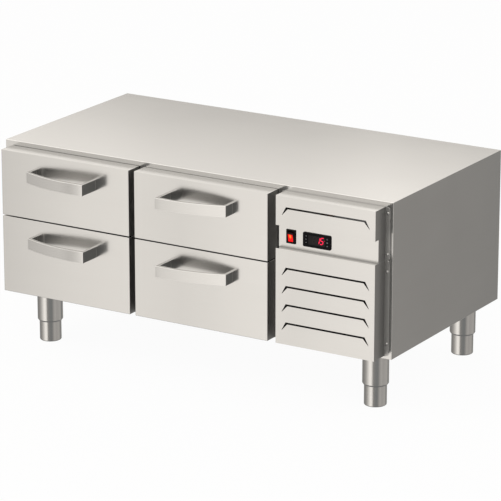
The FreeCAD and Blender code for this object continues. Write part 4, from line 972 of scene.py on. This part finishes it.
CONDENSER_PACK = (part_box("condenser_coil")[0].z + CONDENSER_UNDER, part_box("condenser_coil")[1].z - COIL_TOP)
EVAPORATOR_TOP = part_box("evaporator_coil")[1].z - COIL_TOP
coil("condenser_coil", 0, *CONDENSER_PACK, 4, CONDENSER_PITCH, coil_black)
coil("evaporator_coil", 1, EVAPORATOR_TOP - EVAPORATOR_TALL, EVAPORATOR_TOP, 3, EVAPORATOR_PITCH, fin_metal)

# %% [markdown]
# ## Controls
# The switch and the temperature controller are moulded in black plastic with soft edges. The
# display sits a little behind the controller's face. Its digits are bars of seven-segment
# figures, lit in red, and the bars that are off still show faintly.

# %% Soft black cases
for node, finish, fold in (("switch_housing", gloss_black, 0.0007), ("controller_body", gloss_black, 0.0008),
                           *((key, key_plastic, 0.0005) for key in KEYS)):
    rounded(node, finish, fold, deep=0.001, suffix="_soft", bend=finish)


# %% Lit rocker
def glow_material(name, base, rough, colour, strength):
    """A coloured plastic that is lit from inside. The colour function gives the socket that glows."""
    material, tree, shader = new_material(name, Base_Color=(*base, 1), Roughness=rough, Emission_Strength=strength,
                                          Specular_IOR_Level=0.2)
    feed(tree, shader, [("Emission Color", colour(tree, shader))])
    return material


LENS_TOP, LENS_RIGHT, LENS_EDGE = 0.4536, 0.3276, 0.0008
LAMP, SPOT_SHAPE, SPOT_OUTER, SPOT_INNER = (0.3200, -0.277, 0.4478), (1, 0.2, 0.62), 0.0048, 0.0012
LENS_RED, LAMP_RED, LENS_DARK = (0.80, 0.002, 0.004, 1), (1.0, 0.20, 0.02, 1), (0.012, 0.004, 0.006, 1)


def rocker_colour(tree, shader):
    """Red up to the lens edge, with the warm spot of the lamp behind it."""
    place = object_place(tree)
    x, _, z = add(tree, "ShaderNodeSeparateXYZ", place).outputs
    below = map_range(tree, z, LENS_TOP, LENS_TOP - LENS_EDGE)
    beside = map_range(tree, x, LENS_RIGHT, LENS_RIGHT - LENS_EDGE)
    away = vector_of(tree, "MULTIPLY", vector_of(tree, "SUBTRACT", place, LAMP), SPOT_SHAPE)
    spot = map_range(tree, vector_of(tree, "LENGTH", away), SPOT_OUTER, SPOT_INNER, smooth=True)
    hue = blended(tree, spot, LENS_RED, LAMP_RED)
    colour = blended(tree, math_of(tree, "MULTIPLY", below, beside), LENS_DARK, hue)
    feed(tree, shader, [("Base Color", colour)])
    return colour


rocker_red = glow_material("lit_rocker", (0.4, 0.01, 0.01), 0.3, rocker_colour, 0.72)
rounded("switch_rocker", rocker_red, 0.0008, deep=0.002, suffix="_lens", bend=rocker_red)


# %% Flat shapes on the controller
def prism(bm, outline, front, back):
    """Add a closed slab: an outline of (x, z) points between two depths."""
    near = [bm.verts.new((x, front, z)) for x, z in outline]
    far = [bm.verts.new((x, back, z)) for x, z in outline]
    bm.faces.new(near)
    bm.faces.new(reversed(far))
    for i in range(len(outline)):
        j = (i + 1) % len(outline)
        bm.faces.new((near[j], near[i], far[i], far[j]))


def slab(name, outlines, front, back, finish, node, instead=False, edge=0.0):
    """Flat shapes between two depths. They belong to a node."""
    bm = bmesh.new()
    for outline in outlines:
        prism(bm, outline, front, back)
    bmesh.ops.recalc_face_normals(bm, faces=bm.faces)
    if edge:
        rim = [e for e in bm.edges if all(abs(v.co.y - front) < 1e-7 for v in e.verts)]
        bmesh.ops.bevel(bm, geom=rim, offset=edge, segments=2, profile=0.5, affect="EDGES")
    finished(name, bm, [finish], node, instead)


def dot(x, z, radius, sides=14):
    return [(x + radius * math.cos(2 * math.pi * i / sides), z + radius * math.sin(2 * math.pi * i / sides))
            for i in range(sides)]


def round_rectangle(x0, x1, z0, z1, radius, steps=6):
    points = []
    for cx, cz, start in ((x1 - radius, z1 - radius, 0), (x0 + radius, z1 - radius, 90),
                          (x0 + radius, z0 + radius, 180), (x1 - radius, z0 + radius, 270)):
        for i in range(steps + 1):
            angle = math.radians(start + 90 * i / steps)
            points.append((cx + radius * math.cos(angle), cz + radius * math.sin(angle)))
    return points


PANE_SUNK, PANE_GAP, PANE_CORNER, PANE_EDGE = 0.0006, 0.0002, 0.0016, 0.0002
BOX_LOW, BOX_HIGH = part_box("controller_window")
PANE_FACE = BOX_LOW.y + PANE_SUNK
pane_glass = mottled("display_pane", (0.003, 0.002, 0.003), (0.006, 0.004, 0.005), 40, 0.10, 0.16,
                     Specular_IOR_Level=0.18)
pane = round_rectangle(BOX_LOW.x + PANE_GAP, BOX_HIGH.x - PANE_GAP, BOX_LOW.z + PANE_GAP, BOX_HIGH.z - PANE_GAP,
                       PANE_CORNER)
slab("display_pane", [pane], PANE_FACE, BOX_HIGH.y, pane_glass, "controller_window", True, PANE_EDGE)

# %% [markdown]
# The digits lean to the right by fourteen degrees, like on most such displays. Each bar is a flat
# six-cornered slab that stands a hair's breadth out of the pane.

# %% Digits
STROKE, DIGIT_HALF, DIGIT_RISE, BAR_GAP = 0.0025, 0.0041, 0.0086, 0.00035
DIGIT_LEAN = math.tan(math.radians(14))
DIGIT_MIDDLE = 0.4490
DIGIT_PLACES = (0.3916, 0.4028, 0.4140)
# Bars of a figure: place across, place upwards, and whether it lies flat.
BARS = {"a": (0, 1, True), "g": (0, 0, True), "d": (0, -1, True), "f": (-1, 0.5, False), "b": (1, 0.5, False),
        "e": (-1, -0.5, False), "c": (1, -0.5, False)}
LIT = {1: "bc", 2: "afgcd"}
DOT = (0.4214, 0.4508, 0.0008)
# How far printed and lit shapes stand out of the surface, and how far they go into it.
PROUD, PRINT = 0.00006, 0.00005


def bar(middle, name):
    """One bar of a figure, as an outline that leans with the figure."""
    across, up, flat = BARS[name]
    x, z, half = across * DIGIT_HALF, up * DIGIT_RISE, STROKE / 2
    reach = (DIGIT_HALF if flat else DIGIT_RISE / 2) - BAR_GAP
    points = [(-reach, 0), (half - reach, half), (reach - half, half), (reach, 0),
              (reach - half, -half), (half - reach, -half)]
    if not flat:
        points = [(v, u) for u, v in points]
    return [(middle + x + u + (z + v) * DIGIT_LEAN, DIGIT_MIDDLE + z + v) for u, v in points]


def even_glow(dark, pale):
    def colour(tree, shader):
        cloud = place_group(tree, SMUDGE, object_place(tree), Patches=300)["Level"]
        return blended(tree, cloud, (*dark, 1), (*pale, 1))
    return colour


digit_red = glow_material("lit_digits", (0.3, 0.01, 0.02), 0.3,
                          even_glow((0.9, 0.008, 0.06), (1.0, 0.012, 0.08)), 1.15)
digit_off = glow_material("unlit_digits", (0.008, 0.004, 0.005), 0.3,
                          even_glow((0.004, 0.0015, 0.002), (0.007, 0.002, 0.003)), 1.0)
bars = {True: [], False: []}
for number, middle in enumerate(DIGIT_PLACES):
    for key in BARS:
        bars[key in LIT.get(number, "")].append(bar(middle, key))
bars[True].append(dot(*DOT, sides=12))
for name, lit, finish in (("display_digits", True, digit_red), ("display_digits_off", False, digit_off)):
    slab(name, bars[lit], PANE_FACE - PROUD, PANE_FACE + PRINT, finish, "controller_window")
    print(name, len(bars[lit]), "bars")

# %% [markdown]
# Plain shapes say what each key does, and three small lamps sit beside the display. They are
# printed, so each is a very thin slab on the surface.

# %% Marks on the keys and lamps beside the display
mark_grey = mottled("printed_grey", (0.26, 0.27, 0.28), (0.36, 0.37, 0.38), 300, 0.5, 0.6)
MARK, LAMP_RADIUS = 0.0014, 0.0010
LAMPS_ACROSS, LAMPS_UP = 0.3675, (0.4568, 0.4484, 0.4396)
MARKS = {"key_up": ((-1, -0.7), (1, -0.7), (0, 0.9)), "key_set": ((-0.8, -0.8), (0.8, -0.8), (0.8, 0.8), (-0.8, 0.8)),
         "key_down": ((-1, 0.7), (0, -0.9), (1, 0.7))}
for node, shape in MARKS.items():
    low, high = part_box(node)
    outline = [((low.x + high.x) / 2 + MARK * u, (low.z + high.z) / 2 + MARK * v) for u, v in shape]
    slab(node + "_mark", [outline], low.y - PRINT, low.y + PRINT, mark_grey, node)
BEZEL_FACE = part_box("controller_body")[0].y
slab("display_lamps", [dot(LAMPS_ACROSS, z, LAMP_RADIUS) for z in LAMPS_UP], BEZEL_FACE - PROUD,
     BEZEL_FACE + PRINT, mark_grey, "controller_body")
